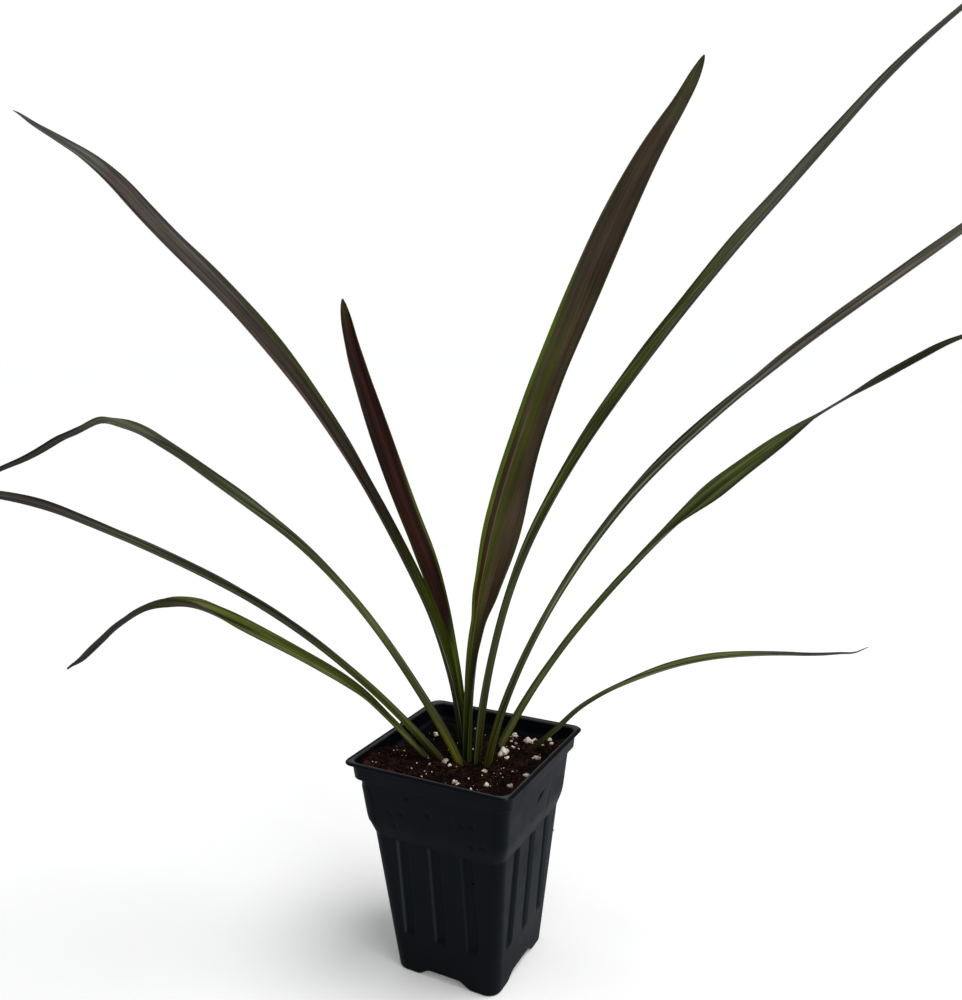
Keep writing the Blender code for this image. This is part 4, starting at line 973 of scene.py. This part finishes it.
# Each leaf's side of the fan, the place and length of its rib above the soil, and in degrees at
# even steps from soil to tip its pitch, its turn away from the viewer, its roll and its fold. half
# is the stalk's half width and the blade's, swell says where the blade starts and is widest, and
# bulges and sways are a size at a place along the leaf with its reach.
LEAVES = (
    dict(name="leaf_low_left", side=LEFT, spot=(-22.7, 3.8), length=232.0,
         pitch=(55, 52.5, 47, 39, 35, 35.5, 33, -11.5, -46.5, -35.5), away=(-30, -14),
         roll=(-5, -10, -35, -50, -50, -48, -36, 0, 25, -8, -57), swell=(0.10, 0.45),
         halves=(2.0, 3.2, 3.3, 3.5, 4.0, 4.1, 4.8, 7.0, 4.4, 3.6, 0.1),
         fold=(62, 51, 32, 29, 28, 40, 38, 29),
         bulges=((0.16, -0.5, 0.06), (0.42, -0.3, 0.06), (0.65, -0.5, 0.03), (0.75, 2.0, 0.025),
                 (0.80, -0.5, 0.02), (0.94, 0.8, 0.03)),
         sways=((0.17, -0.35, 0.05), (0.49, 0.42, 0.08), (0.85, -0.35, 0.03), (0.995, 1.2, 0.02))),
    dict(name="leaf_left_lower", side=LEFT, spot=(-13.4, -2.1), length=334.5,
         pitch=(55, 49, 43.5, 35.5, 29.5, 26.5, 7, -15), away=(-12, -12),
         roll=(0, 10, 11, 13, 13, 12, 22, 10, 10), half=(4.4, 8.1), swell=(0.25, 0.62),
         fold=(64, 57, 49, 41, 32, 27, 31, 35),
         bulges=((0.44, -0.6, 0.04), (0.62, -0.6, 0.04), (0.76, 0.5, 0.03)),
         sways=((0.17, 0.15, 0.06), (0.50, 0.36, 0.28))),
    dict(name="leaf_left_bent", side=LEFT, spot=(-3.3, -6.5), length=377.5,
         pitch=(67.5, 60.5, 58, 52.5, 45.5, 36.5, 36, 35, 9, -33, -20, -25.5), away=(6, 12),
         roll=(0, 13, 18, 19, 8, 18, -14, -1, 5), half=(4.5, 8.3), swell=(0.25, 0.60),
         sways=((0.655, -1.2, 0.03), (0.75, 0.8, 0.02), (0.795, -1.6, 0.025)),
         bulges=((0.742, -3.4, 0.019), (0.79, 0.5, 0.02)),
         fold=(64, 57, 49, 40, 40, 26, 30, 34)),
    dict(name="leaf_left_tall", side=LEFT, spot=(-2.4, 6.5), length=479.0,
         pitch=(89.5, 77.5, 63.5, 61, 56.5, 51, 45, 41.5, 46, 30, 28), away=(17, 21),
         roll=(0, -22, -21, -15, -16, -13, -13, -17, -2), half=(5.3, 9.9), swell=(0.25, 0.62),
         fold=(54, 57, 46, 36, 31, 23, 28, 36),
         bulges=((0.13, 1.2, 0.05), (0.35, -0.5, 0.03), (0.60, 0.5, 0.10), (0.76, 0.4, 0.03)),
         sways=((0.13, -0.5, 0.04), (0.995, 1.5, 0.02))),
    dict(name="leaf_heart", side=LEFT, spot=(1.4, 5.3), length=263.5,
         pitch=(83, 83, 73.5, 68.5, 72, 73, 82), away=(14, 14),
         roll=(0, -25, -34, -62, -32, -48, -64, -67, -67), half=(2.4, 6.8), swell=(0.20, 0.50),
         fold=(60, 51, 32, 24, 25, 22, 19, 24),
         bulges=((0.50, 0.4, 0.05), (0.88, 0.3, 0.04), (0.96, 0.8, 0.045))),
    dict(name="leaf_broad_upright", side=RIGHT, spot=(-0.1, -0.5), length=447.5,
         pitch=(89.5, 82.5, 70.5, 71, 64.5, 61, 59.5, 55, 48.5, 58), away=(34, 38),
         roll=(0, 31, 55, 30, 27, 44, 52, 55, 51), half=(4.4, 11.8), swell=(0.06, 0.32),
         fold=(65, 64, 25, 37, 32, 22, 28, 27),
         bulges=((0.13, 0.9, 0.04), (0.180, -1.0, 0.017), (0.212, 0.4, 0.014), (0.965, 0.8, 0.035)),
         sways=((0.20, -0.7, 0.03),)),
    dict(name="leaf_right_tall", side=RIGHT, spot=(4.8, -0.6), length=550.0,
         pitch=(85.5, 76, 62.5, 54, 50.5, 47, 47.5, 39, 34), away=(10, 6),
         roll=(0, -17, 33, 24, 8, 9, -3, -5, 1), half=(4.4, 8.6), swell=(0.22, 0.55),
         fold=(65, 58, 50, 40, 35, 33, 28, 35),
         bulges=((0.18, -0.6, 0.04), (0.50, -0.4, 0.04)),
         sways=((0.15, -0.2, 0.03), (0.225, 0.1, 0.04))),
    dict(name="leaf_right_upper", side=RIGHT, spot=(10.5, -4.8), length=432.0,
         pitch=(78, 67.5, 60, 52.5, 43, 40, 36, 37, 39), away=(-16, -18),
         roll=(0, 4, 2, -1, 5, -4, 2, 7, 5), half=(4.4, 8.8), swell=(0.25, 0.58),
         fold=(64, 55, 49, 41, 26, 36, 30, 35),
         bulges=((0.20, -0.4, 0.06), (0.40, -0.6, 0.04), (0.56, -0.8, 0.04), (0.66, -0.6, 0.03)),
         sways=((0.52, 0.25, 0.12),)),
    dict(name="leaf_right_twisted", side=RIGHT, spot=(18.5, 18.3), length=383.0,
         pitch=(63.5, 56.5, 49.5, 46, 39, 36, 34.5, 26, 27.5, 5.5), away=(7, 5),
         roll=(-2, -14, -25, -27, -8, 51, 38, -20, -1, 10, 21), swell=(0.25, 0.50),
         halves=(4.2, 4.2, 4.2, 4.4, 4.7, 5.7, 5.2, 6.2, 6.8, 4.4, 0.1),
         fold=(62, 58, 45, 34, 22, 12, -1, 22, 25),
         bulges=((0.34, 0.5, 0.04), (0.50, 0.5, 0.04), (0.72, 0.6, 0.04), (0.80, 0.8, 0.03)),
         sways=((0.48, 0.6, 0.22), (0.75, -0.7, 0.04))),
    dict(name="leaf_right_small", side=RIGHT, spot=(33.9, 10.6), length=199.5,
         pitch=(42.5, 47.5, 31.5, 23.5, 12, 5, 18), away=(-20, -26),
         roll=(-10, -10, -10, -12, 2, 2, -8, -9, -17), half=(2.6, 4.7), swell=(0.20, 0.45),
         fold=(60, 50, 34, 27, 25, 20, 14, 19), bulges=((0.34, -0.8, 0.06),),
         sways=((0.21, 0.4, 0.05), (0.965, -0.7, 0.02), (1.0, 1.0, 0.015))),
)
CROWN_LEAVES = ("leaf_left_bent", "leaf_left_tall", "leaf_heart", "leaf_broad_upright",
                "leaf_right_tall", "leaf_right_upper")


def stations(values, share):
    """Values at even steps from soil to tip, joined by straight lines."""
    return np.interp(share, np.linspace(0.0, 1.0, len(values)), values)


def softened(values, share, reach=0.03):
    """The same, averaged over a short way on each side so that no crease shows."""
    offsets = np.linspace(-reach, reach, SOFTENED_POINTS)
    weights = 1.0 - np.abs(offsets) / reach * SOFTENED_FALL
    spread_shares = np.clip(np.asarray(share)[:, None] + offsets, 0.0, 1.0)
    return stations(values, spread_shares) @ weights / weights.sum()


def leaf_rib(leaf, share):
    """Rib's points: unit steps along (cos p cos h, cos p sin h, sin p) added up from the soil.

    A sway lifts the rib by stray * exp(-((share - place) / reach)^2).
    """
    middle = (np.arange(RIB_STEPS) + 0.5) / RIB_STEPS
    steps = leaf_forward(leaf, middle) * leaf["length"] / RIB_STEPS
    walked = np.vstack([np.zeros(3), np.cumsum(steps, axis=0)]) + [*leaf["spot"], SOIL_Z]
    stations_walked = np.linspace(0, 1, RIB_STEPS + 1)
    for place, stray, reach in leaf.get("sways", ()):
        walked[:, 2] += stray * np.exp(-((stations_walked - place) / reach) ** 2)
    return np.stack([np.interp(share, stations_walked, axis) for axis in walked.T], 1)


def leaf_heading(leaf, share):
    """Heading in radians round the vertical, from the turn away and the side of the fan."""
    away = np.radians(stations(leaf["away"], share))
    return away if leaf["side"] == RIGHT else math.pi - away


def leaf_forward(leaf, share):
    """Direction of growth from the pitch p and heading h at each share of the length."""
    p, h = np.radians(stations(leaf["pitch"], share)), leaf_heading(leaf, share)
    return np.stack([np.cos(p) * np.cos(h), np.cos(p) * np.sin(h), np.sin(p)], axis=-1)


def leaf_width(leaf, share):
    """Half width: the stalk, an even swelling into the blade, then a run out to the point.

    Two leaves that turn over have theirs given at even steps instead. A bulge adds
    extra * exp(-((share - place) / reach)^2).
    """
    if "halves" in leaf:
        half = softened(leaf["halves"], share)
    else:
        stalk, blade = leaf["half"]
        start, widest = leaf["swell"]
        run = np.clip((share - widest) / (1.0 - widest), 0.0, 1.0)
        half = stalk + (blade - stalk) * ease((share - start) / (widest - start))
        half = half * np.maximum(1.0 - run ** TIP_RUN, 0.0) ** TIP_BLUNT
    for place, extra, reach in leaf.get("bulges", ()):
        half = half + extra * np.exp(-((share - place) / reach) ** 2)
    return np.maximum(half, TIP_HALF)


def leaf_surface(leaf, seed):
    """Both faces of a leaf as rings (rings, points round, 3), and each point's place on it.

    At u across (-1 to 1) the fold goes from a U, (sin(u pi/2), 1 - cos(u pi/2)), at the stalk
    to a rounded V, (u, sqrt(u^2 + soft^2)), in the blade, scaled by half width, cos and sin of
    the fold's angle. The lower face lies a thickness below it, square to it, with a keel at the
    rib; the upper face is filled in by the stalk's flesh. Veins and a slow wave come on top.
    """
    draw = np.random.default_rng(seed)
    share = np.linspace(0.0, 1.0, round(leaf["length"] / RING_STEP) + 1)
    along = share * leaf["length"]
    half = leaf_width(leaf, share)[:, None]
    fold = np.radians(softened(leaf["fold"], share))[:, None]
    start = leaf["swell"][0]
    bladed = ease((share - TURN_STARTS) / (start + TURN_PAST))[:, None]
    u = np.linspace(-1.0, 1.0, ACROSS_POINTS)[None, :]
    depth = math.hypot(1.0, SOFT_FOLD) - SOFT_FOLD
    rise = ((1 - bladed) * depth * (1.0 - np.cos(u * math.pi / 2.0))
            + bladed * (np.hypot(u, SOFT_FOLD) - SOFT_FOLD)) - FOLD_SEAT
    across = (1 - bladed) * np.sin(u * math.pi / 2.0) + bladed * u
    x = half * np.cos(fold) * across
    y = half * np.sin(fold) * rise
    waves = 0.0
    for edge in (-1.0, 1.0):
        length = draw.uniform(*WAVE_LONG)
        phase = draw.uniform(0.0, 2.0 * math.pi)
        swing = np.sin(along / length * 2.0 * math.pi + phase)
        swing = swing + RIPPLE_SHARE * np.sin(along / RIPPLE_LONG + phase)
        waves = waves + swing[:, None] * np.clip(u * edge, 0.0, 1.0) ** 3
    y = y + waves * WAVE_HEIGHT * half * bladed
    dx, dy = np.gradient(x, axis=1), np.gradient(y, axis=1)
    size = np.hypot(dx, dy)
    normal_x, normal_y = -dy / size, dx / size
    rib = np.interp(share, *RIB_THICK)[:, None]
    thick = rib + (np.minimum(MARGIN_THICK, rib) - rib) * np.abs(u) ** MARGIN_THINS
    keel = RIB_KEEL * np.exp(-(u / KEEL_WIDTH) ** 2) * bladed * (1.0 - share[:, None] ** 3)
    flesh = FLESH * (1.0 - ease(share / (start + FLESH_PAST)))[:, None] * (1.0 - u ** 2) ** 2
    channel = CHANNEL_DEPTH * np.exp(-(u / CHANNEL_WIDTH) ** 2) * bladed
    veins = VEIN_HEIGHT * np.sin(np.abs(u) * 2.0 * math.pi * VEINS_EACH_SIDE) * (1.0 - u ** 2)
    veins = veins * bladed * np.minimum(1.0, half / VEINS_FULL_HALF)
    above = flesh - channel + veins
    below = thick + keel - veins
    upper = np.stack([x + normal_x * above, y + normal_y * above], axis=-1)
    lower = np.stack([x - normal_x * below, y - normal_y * below], axis=-1)
    out = np.stack([dx / size, dy / size], axis=-1) * MARGIN_THICK * MARGIN_OUT
    far_edge = (upper[:, -1:] + lower[:, -1:]) / 2.0 + out[:, -1:]
    near_edge = (upper[:, :1] + lower[:, :1]) / 2.0 - out[:, :1]
    section = np.concatenate([upper, far_edge, lower[:, ::-1], near_edge], axis=1)

    forward = leaf_forward(leaf, share)
    heading = leaf_heading(leaf, share)
    roll = np.radians(softened(leaf["roll"], share))[:, None]
    level = np.stack([-np.sin(heading), np.cos(heading), 0.0 * heading], axis=-1)
    above_level = np.cross(forward, level)
    sideways = level * np.cos(roll) + above_level * np.sin(roll)
    upward = np.cross(forward, sideways)
    rings = (leaf_rib(leaf, share)[:, None] + sideways[:, None] * section[..., :1]
             + upward[:, None] * section[..., 1:])

    # The foot, sunk in the soil: level with the stem's top, or a plain way further down
    first = forward[0]
    if leaf["name"] in CROWN_LEAVES:
        sink = (FOOT_Z - rings[0][:, 2:]) / first[2]
    else:
        sink = np.full((rings.shape[1], 1), -FOOT_DEPTH)
    buried = np.stack([rings[0] + first * sink * t for t in FOOT_SHARES])
    rings = np.concatenate([buried, rings])
    share = np.concatenate([np.zeros(len(buried)), share])
    along = np.concatenate([np.linspace(-FOOT_DEPTH, FOOT_RUN_END, len(buried)), along])
    half = np.concatenate([np.repeat(half[:1], len(buried), 0), half])
    u_round = np.concatenate([u[0], [1.0], u[0, ::-1], [-1.0]])
    face_round = np.concatenate([np.zeros(ACROSS_POINTS), [0.5], np.ones(ACROSS_POINTS), [0.5]])
    shape = rings.shape[:2]
    places = np.stack([np.broadcast_to(u_round, shape), np.broadcast_to(share[:, None], shape),
                       np.broadcast_to(face_round, shape)], axis=-1)
    runs = np.stack([u_round * half * MM, np.broadcast_to(along[:, None] * MM, shape),
                     np.full(shape, float(seed))], axis=-1)
    return rings, places, runs


def streaks(tree, run, scale_across, scale_along, detail):
    """Noise drawn out along the leaf, by its scales across and along.

    Run is (metres across, metres along, the leaf's number), so that each leaf has its own noise.
    """
    scales = (scale_across, scale_along, LEAVES_APART)
    stretched = add(tree, "ShaderNodeMapping", {"Vector": run, "Scale": scales})
    return noise(tree, stretched.outputs[0], 1.0, detail, 0.55)


def zones_group():
    """Node group of a leaf's ground colours: foot, stalk, blade, top and tip along it.

    The stalk, blade and top each have a half nearer the viewer and a half further off. Over them
    come the fold, whose colour is a light rib on some leaves and painted shade of the crease where
    it is dark, and the two margins. Place is (across -1 to 1, share of the length, 0 upper or 1
    lower face), and the Across that comes out goes from 0 at the near edge to 1 at the far one.
    """
    colours = ["Foot", "Tip", "Fold"] + [part + side_name for side_name in (" near", " far")
                                         for part in ("Stalk", "Blade", "Top", "Margin")]
    numbers = ("Far side", "Blade starts", "Top starts", "Tip starts", "Fold shows")
    group, given, out = new_group(
        "leaf_zones", {"Place": "Vector", "Run": "Vector", **dict.fromkeys(colours, "Color"),
                       **dict.fromkeys(numbers, "Float")}, {"Colour": "Color", "Across": "Float"})
    from_rib, share = split(group, given["Place"])[:2]
    wide = streaks(group, given["Run"], *ZONE_STREAKS)
    cloud = streaks(group, given["Run"], *ZONE_CLOUD)
    # The line between the halves wanders with the cloud, and the places where one colour gives
    # way to the next wander with the cloud and the streaks
    across = times_plus(group, product(group, from_rib, given["Far side"]), 0.5, 0.48)
    across = times_plus(group, cloud, 0.04, across)
    wandered = times_plus(group, cloud, 0.12, minus(group, share, 0.06))
    wandered = times_plus(group, wide, 0.14, minus(group, wandered, 0.07))
    blade = eased(group, minus(group, wandered, given["Blade starts"]), -0.05, 0.06)
    top = eased(group, minus(group, wandered, given["Top starts"]), -0.07, 0.08)
    tip = eased(group, minus(group, wandered, given["Tip starts"]), -0.03, 0.04)
    half = []
    for side_name in (" near", " far"):
        colour = blend(group, eased(group, share, 0.01, 0.11), given["Foot"],
                       given["Stalk" + side_name])
        colour = blend(group, blade, colour, given["Blade" + side_name])
        half.append(blend(group, top, colour, given["Top" + side_name]))
    turn = times_plus(group, minus(group, wide, 0.5), 0.12, across)
    colour = blend(group, eased(group, turn, 0.45, 0.55), *half)
    # The fold's colour: a light rib on some leaves, and painted shade of the crease where it is
    # dark
    from_fold = maths(group, 'ABSOLUTE', minus(group, across, 0.5))
    fold = product(group, eased(group, from_fold, 0.012, 0.034, 1.0, 0.0), given["Fold shows"],
                   eased(group, share, 0.12, 0.3))
    colour = blend(group, fold, colour, given["Fold"])
    near_margin = product(group, eased(group, across, 0.025, 0.06, 1.0, 0.0), MARGIN_SHOWS)
    far_margin = product(group, eased(group, across, 0.94, 0.975), MARGIN_SHOWS)
    colour = blend(group, near_margin, colour, given["Margin near"])
    colour = blend(group, far_margin, colour, given["Margin far"])
    group.links.new(blend(group, tip, colour, given["Tip"]), out["Colour"])
    group.links.new(across, out["Across"])
    return group


def strip_group():
    """Node group of one long strip of another colour, between two edges across and two ends.

    Its edges move across by the slant times the share of the length since its start.
    """
    numbers = ("Across", "Low edge", "High edge", "Starts", "Ends", "Slant")
    group, given, out = new_group(
        "leaf_strip", {"Place": "Vector", "Colour": "Color", "Strip": "Color",
                       **dict.fromkeys(numbers, "Float")}, {"Colour": "Color"})
    share = split(group, given["Place"])[1]
    started = minus(group, share, given["Starts"])
    moved = minus(group, given["Across"], product(group, given["Slant"], started))
    amount = product(
        group, eased(group, minus(group, moved, given["Low edge"]), -0.015, 0.015),
        eased(group, minus(group, moved, given["High edge"]), -0.015, 0.015, 1.0, 0.0),
        eased(group, started, -0.03, 0.05),
        eased(group, minus(group, share, given["Ends"]), -0.10, 0.03, 1.0, 0.0), STRIP_SHOWS)
    group.links.new(blend(group, amount, given["Colour"], given["Strip"]), out["Colour"])
    return group


def lines_group():
    """Node group of the veins, as fine and broad lines of lighter and darker shade.

    Every shade multiplies the colour. The leaf is darker towards its edges, a painted shade of its
    rounding, the veins stand up, and the fine ones are a little rougher.
    """
    group, given, out = new_group(
        "leaf_lines", {"Run": "Vector", "Colour": "Color", "Across": "Float", "Lines": "Float"},
        {"Colour": "Color", "Roughness": "Float", "Height": "Float"})
    veins, bands, broad, cloud = (streaks(group, given["Run"], *scales) for scales in
                                  (FINE_VEINS, VEIN_BANDS, BROAD_BANDS, VEIN_CLOUD))
    line = minus(group, eased(group, bands, 0.36, 0.60), 0.5)
    broad_line = minus(group, eased(group, broad, 0.36, 0.64), 0.5)
    from_middle = maths(group, 'ABSOLUTE', minus(group, given["Across"], 0.5))
    # The last factor is painted shade, darker towards both edges of the leaf
    shade = product(
        group, times_plus(group, line, given["Lines"], 1.0),
        times_plus(group, broad_line, product(group, given["Lines"], 0.7), 1.0),
        eased(group, veins, 0.32, 0.68, 0.84, 1.16), eased(group, cloud, 0.30, 0.70, 0.86, 1.14),
        eased(group, minus(group, 0.5, from_middle), 0.02, 0.16, 0.66, 1.0))
    rough = times_plus(group, cloud, 0.10, eased(group, veins, 0.3, 0.7, 0.40, 0.50))
    tall = times_plus(group, bands, 0.8, product(group, veins, 0.6))
    group.links.new(darkened(group, given["Colour"], shade), out["Colour"])
    group.links.new(rough, out["Roughness"])
    group.links.new(tall, out["Height"])
    return group


leaf_zones, leaf_strip, leaf_lines = zones_group(), strip_group(), lines_group()

# Each leaf's colours: halves as (near, far), places of blade, top and tip as shares of the length,
# and strips as (colour, low and high edge across, start and end along, slant)
# A fold colour darker than the blade is painted shade in the crease
SKINS = {
    "leaf_low_left": dict(
        foot="4a4a2a", stalk=("787e43", "697124"), blade=("4b4f2b", "3d4613"),
        top=("24260c", "44441f"), tip="31322a", fold="1e1c05", fold_shows=0.9,
        margin=("545a30", "4a5226"), places=(0.14, 0.64, 0.80), lines=0.7,
        strips=(("3a2d22", 0.10, 0.34, 0.68, 0.78, 0.0), ("1a1107", 0.45, 0.64, 0.52, 0.80, 0.0),
                ("2f3511", 0.52, 0.58, 0.14, 0.60, 0.0))),
    "leaf_left_lower": dict(
        foot="383410", stalk=("4f5624", "42481c"), blade=("3e3d29", "383c20"),
        top=("3c3630", "3a382f"), tip="35302a", fold="454736", fold_shows=0.5,
        margin=("565a40", "444830"), places=(0.26, 0.68, 0.93), lines=0.9,
        strips=(("262419", 0.07, 0.2, 0.33, 0.62, 0.0),)),
    "leaf_left_bent": dict(
        foot="5a5713", stalk=("33371b", "3d431b"), blade=("50562f", "3b4028"),
        top=("4a4c35", "464636"), tip="2d2d22", fold="50543c", fold_shows=0.5,
        margin=("5a6042", "4a5034"), places=(0.22, 0.60, 0.76), lines=0.9,
        strips=(("2a2116", 0.40, 0.50, 0.08, 0.30, 0.0), ("2f3419", 0.45, 0.54, 0.26, 0.64, 0.0),
                ("12120b", -0.1, 0.16, 0.61, 0.69, 0.0), ("161610", -0.1, 0.15, 0.77, 1.0, 0.0))),
    "leaf_left_tall": dict(
        foot="272911", stalk=("30340c", "45500f"), blade=("42362c", "2e261d"),
        top=("3f3733", "433a35"), tip="504f4a", fold="221a12", fold_shows=0.6,
        margin=("6e685a", "3c4022"), places=(0.25, 0.57, 0.86), lines=0.8,
        strips=(("2c0f0c", 0.04, 0.10, 0.36, 0.62, 0.0), ("3b421c", 0.86, 1.1, 0.42, 0.66, 0.0),
                ("201b19", 0.12, 0.24, 0.74, 0.95, 0.0), ("28221f", 0.30, 0.37, 0.72, 0.92, 0.0))),
    "leaf_heart": dict(
        foot="2f3a0b", stalk=("4a590f", "4c5e0e"), blade=("25140b", "1c0c05"),
        top=("1f120e", "220f0c"), tip="26220f", fold="140806", fold_shows=0.5,
        margin=("40461c", "4a5418"), places=(0.27, 0.60, 0.97), lines=0.8,
        strips=(("33360f", -0.1, 0.10, 0.22, 0.62, 0.0), ("3c420f", 0.90, 1.1, 0.20, 0.66, 0.0),
                ("36120c", 0.52, 0.60, 0.25, 0.88, 0.0), ("32130d", 0.28, 0.34, 0.30, 0.80, 0.0))),
    "leaf_broad_upright": dict(
        foot="2c340e", stalk=("333515", "2e3510"), blade=("4a3e2e", "39361d"),
        top=("33291f", "342a20"), tip="36341f", fold="423722", fold_shows=0.25,
        margin=("46521e", "4c5530"), places=(0.14, 0.58, 0.90), lines=0.2,
        strips=(("4b5e0c", 0.90, 1.1, 0.12, 0.66, 0.0), ("2f1d0e", 0.78, 0.895, 0.18, 0.46, 0.0),
                ("5e5a38", 0.745, 0.76, 0.12, 0.46, 0.0), ("383a10", 0.50, 0.735, 0.14, 0.56, 0.0),
                ("2f1b10", 0.06, 0.36, 0.18, 0.28, 0.0))),
    "leaf_right_tall": dict(
        foot="2e300c", stalk=("363a20", "545b36"), blade=("1a1c10", "42491f"),
        top=("33322b", "4d4d41"), tip="443f3a", fold="1c1e16", fold_shows=0.4,
        margin=("5c6146", "4a503a"), places=(0.22, 0.58, 0.90), lines=0.7,
        strips=(("676c4c", 0.97, 1.0, 0.36, 0.68, -1.55),)),
    "leaf_right_upper": dict(
        foot="3b3a0f", stalk=("2f3319", "33381e"), blade=("343821", "3f4529"),
        top=("463f36", "50483f"), tip="3a332d", fold="50533f", fold_shows=0.6,
        margin=("454838", "3c4030"), places=(0.20, 0.58, 0.92), lines=0.9,
        strips=(("666956", 0.26, 0.32, 0.20, 0.62, 0.0), ("22261a", 0.12, 0.17, 0.26, 0.64, 0.0),
                ("15170f", 0.42, 0.60, 0.14, 0.66, 0.0))),
    "leaf_right_twisted": dict(
        foot="525528", stalk=("464e28", "4a512b"), blade=("434a26", "434c25"),
        top=("2c301c", "2b2e1a"), tip="2b2f1c", fold="1c210b", fold_shows=0.9,
        margin=("42482c", "444a2e"), places=(0.30, 0.70, 0.95), lines=0.8,
        strips=(("3f4030", 0.0, 1.0, 0.66, 0.74, 0.0), ("262b12", 0.38, 0.48, 0.32, 0.66, 0.0),
                ("30351c", -0.1, 0.12, 0.38, 0.62, 0.0), ("475220", -0.1, 0.16, 0.76, 0.97, 0.0),
                ("1c210f", 0.36, 0.70, 0.76, 0.97, 0.0))),
    "leaf_right_small": dict(
        foot="2d2c19", stalk=("3f4323", "434827"), blade=("5a6137", "575e33"),
        top=("48473a", "42423a"), tip="45473e", fold="2c301a", fold_shows=0.4,
        margin=("3e4228", "4e5238"), places=(0.30, 0.76, 0.90), lines=0.6,
        strips=(("25270f", 0.30, 0.5, 0.12, 0.40, 0.0),)),
}


def leaf_skin(leaf):
    """A leaf's own finish from its colours and its side of the fan."""
    skin = SKINS[leaf["name"]]
    material, tree = new_material(leaf["name"] + "_finish")
    place, run = stored(tree, "place"), stored(tree, "run")
    zones = {"Place": place, "Run": run, "Far side": float(leaf["side"]),
             "Foot": tint(skin["foot"]), "Tip": tint(skin["tip"]), "Fold": tint(skin["fold"]),
             "Fold shows": skin["fold_shows"]}
    for part in ("Stalk", "Blade", "Top", "Margin"):
        zones[part + " near"], zones[part + " far"] = map(tint, skin[part.lower()])
    zones["Blade starts"], zones["Top starts"], zones["Tip starts"] = skin["places"]
    made = add(tree, "ShaderNodeGroup", node_tree=leaf_zones, sockets=zones).outputs
    colour, across = made["Colour"], made["Across"]
    for code, low, high, starts, ends, slant in skin["strips"]:
        colour = add(tree, "ShaderNodeGroup", node_tree=leaf_strip, sockets={
            "Colour": colour, "Across": across, "Place": place, "Strip": tint(code),
            "Low edge": low, "High edge": high, "Starts": starts, "Ends": ends,
            "Slant": slant}).outputs[0]
    lines = add(tree, "ShaderNodeGroup", node_tree=leaf_lines, sockets={
        "Colour": colour, "Across": across, "Run": run, "Lines": skin["lines"]}).outputs
    finish(tree, lines["Colour"], lines["Roughness"], 0.06, lines["Height"], 0.35, 0.0003)
    return material


# A leaf's rings are closed at the foot and the tip by one point each, the tip's a little ahead
for number, leaf in enumerate(LEAVES):
    rings, places, runs = leaf_surface(leaf, number + 1)
    tip_point = rings[-1].mean(axis=0) + leaf_forward(leaf, np.array([1.0]))[0] * TIP_POINT
    points = np.vstack([rings.reshape(-1, 3), rings[0].mean(axis=0), tip_point]) @ FAN
    net = closed_rows(*rings.shape[:2])
    last = len(points) - 1
    end_places = [[0.0, 0.0, 0.5], [0.0, 1.0, 0.5]]
    end_runs = [[0.0, *runs[0, 0, 1:]], [0.0, *runs[-1, 0, 1:]]]
    put(leaf["name"] + "_blade", points, net_faces(net), end_fans(net, last - 1, last),
        leaf_skin(leaf), leaf["name"] + "_skin", (leaf["name"],), sharp=70.0,
        attributes={"place": np.vstack([places.reshape(-1, 3), end_places]),
                    "run": np.vstack([runs.reshape(-1, 3), end_runs])})
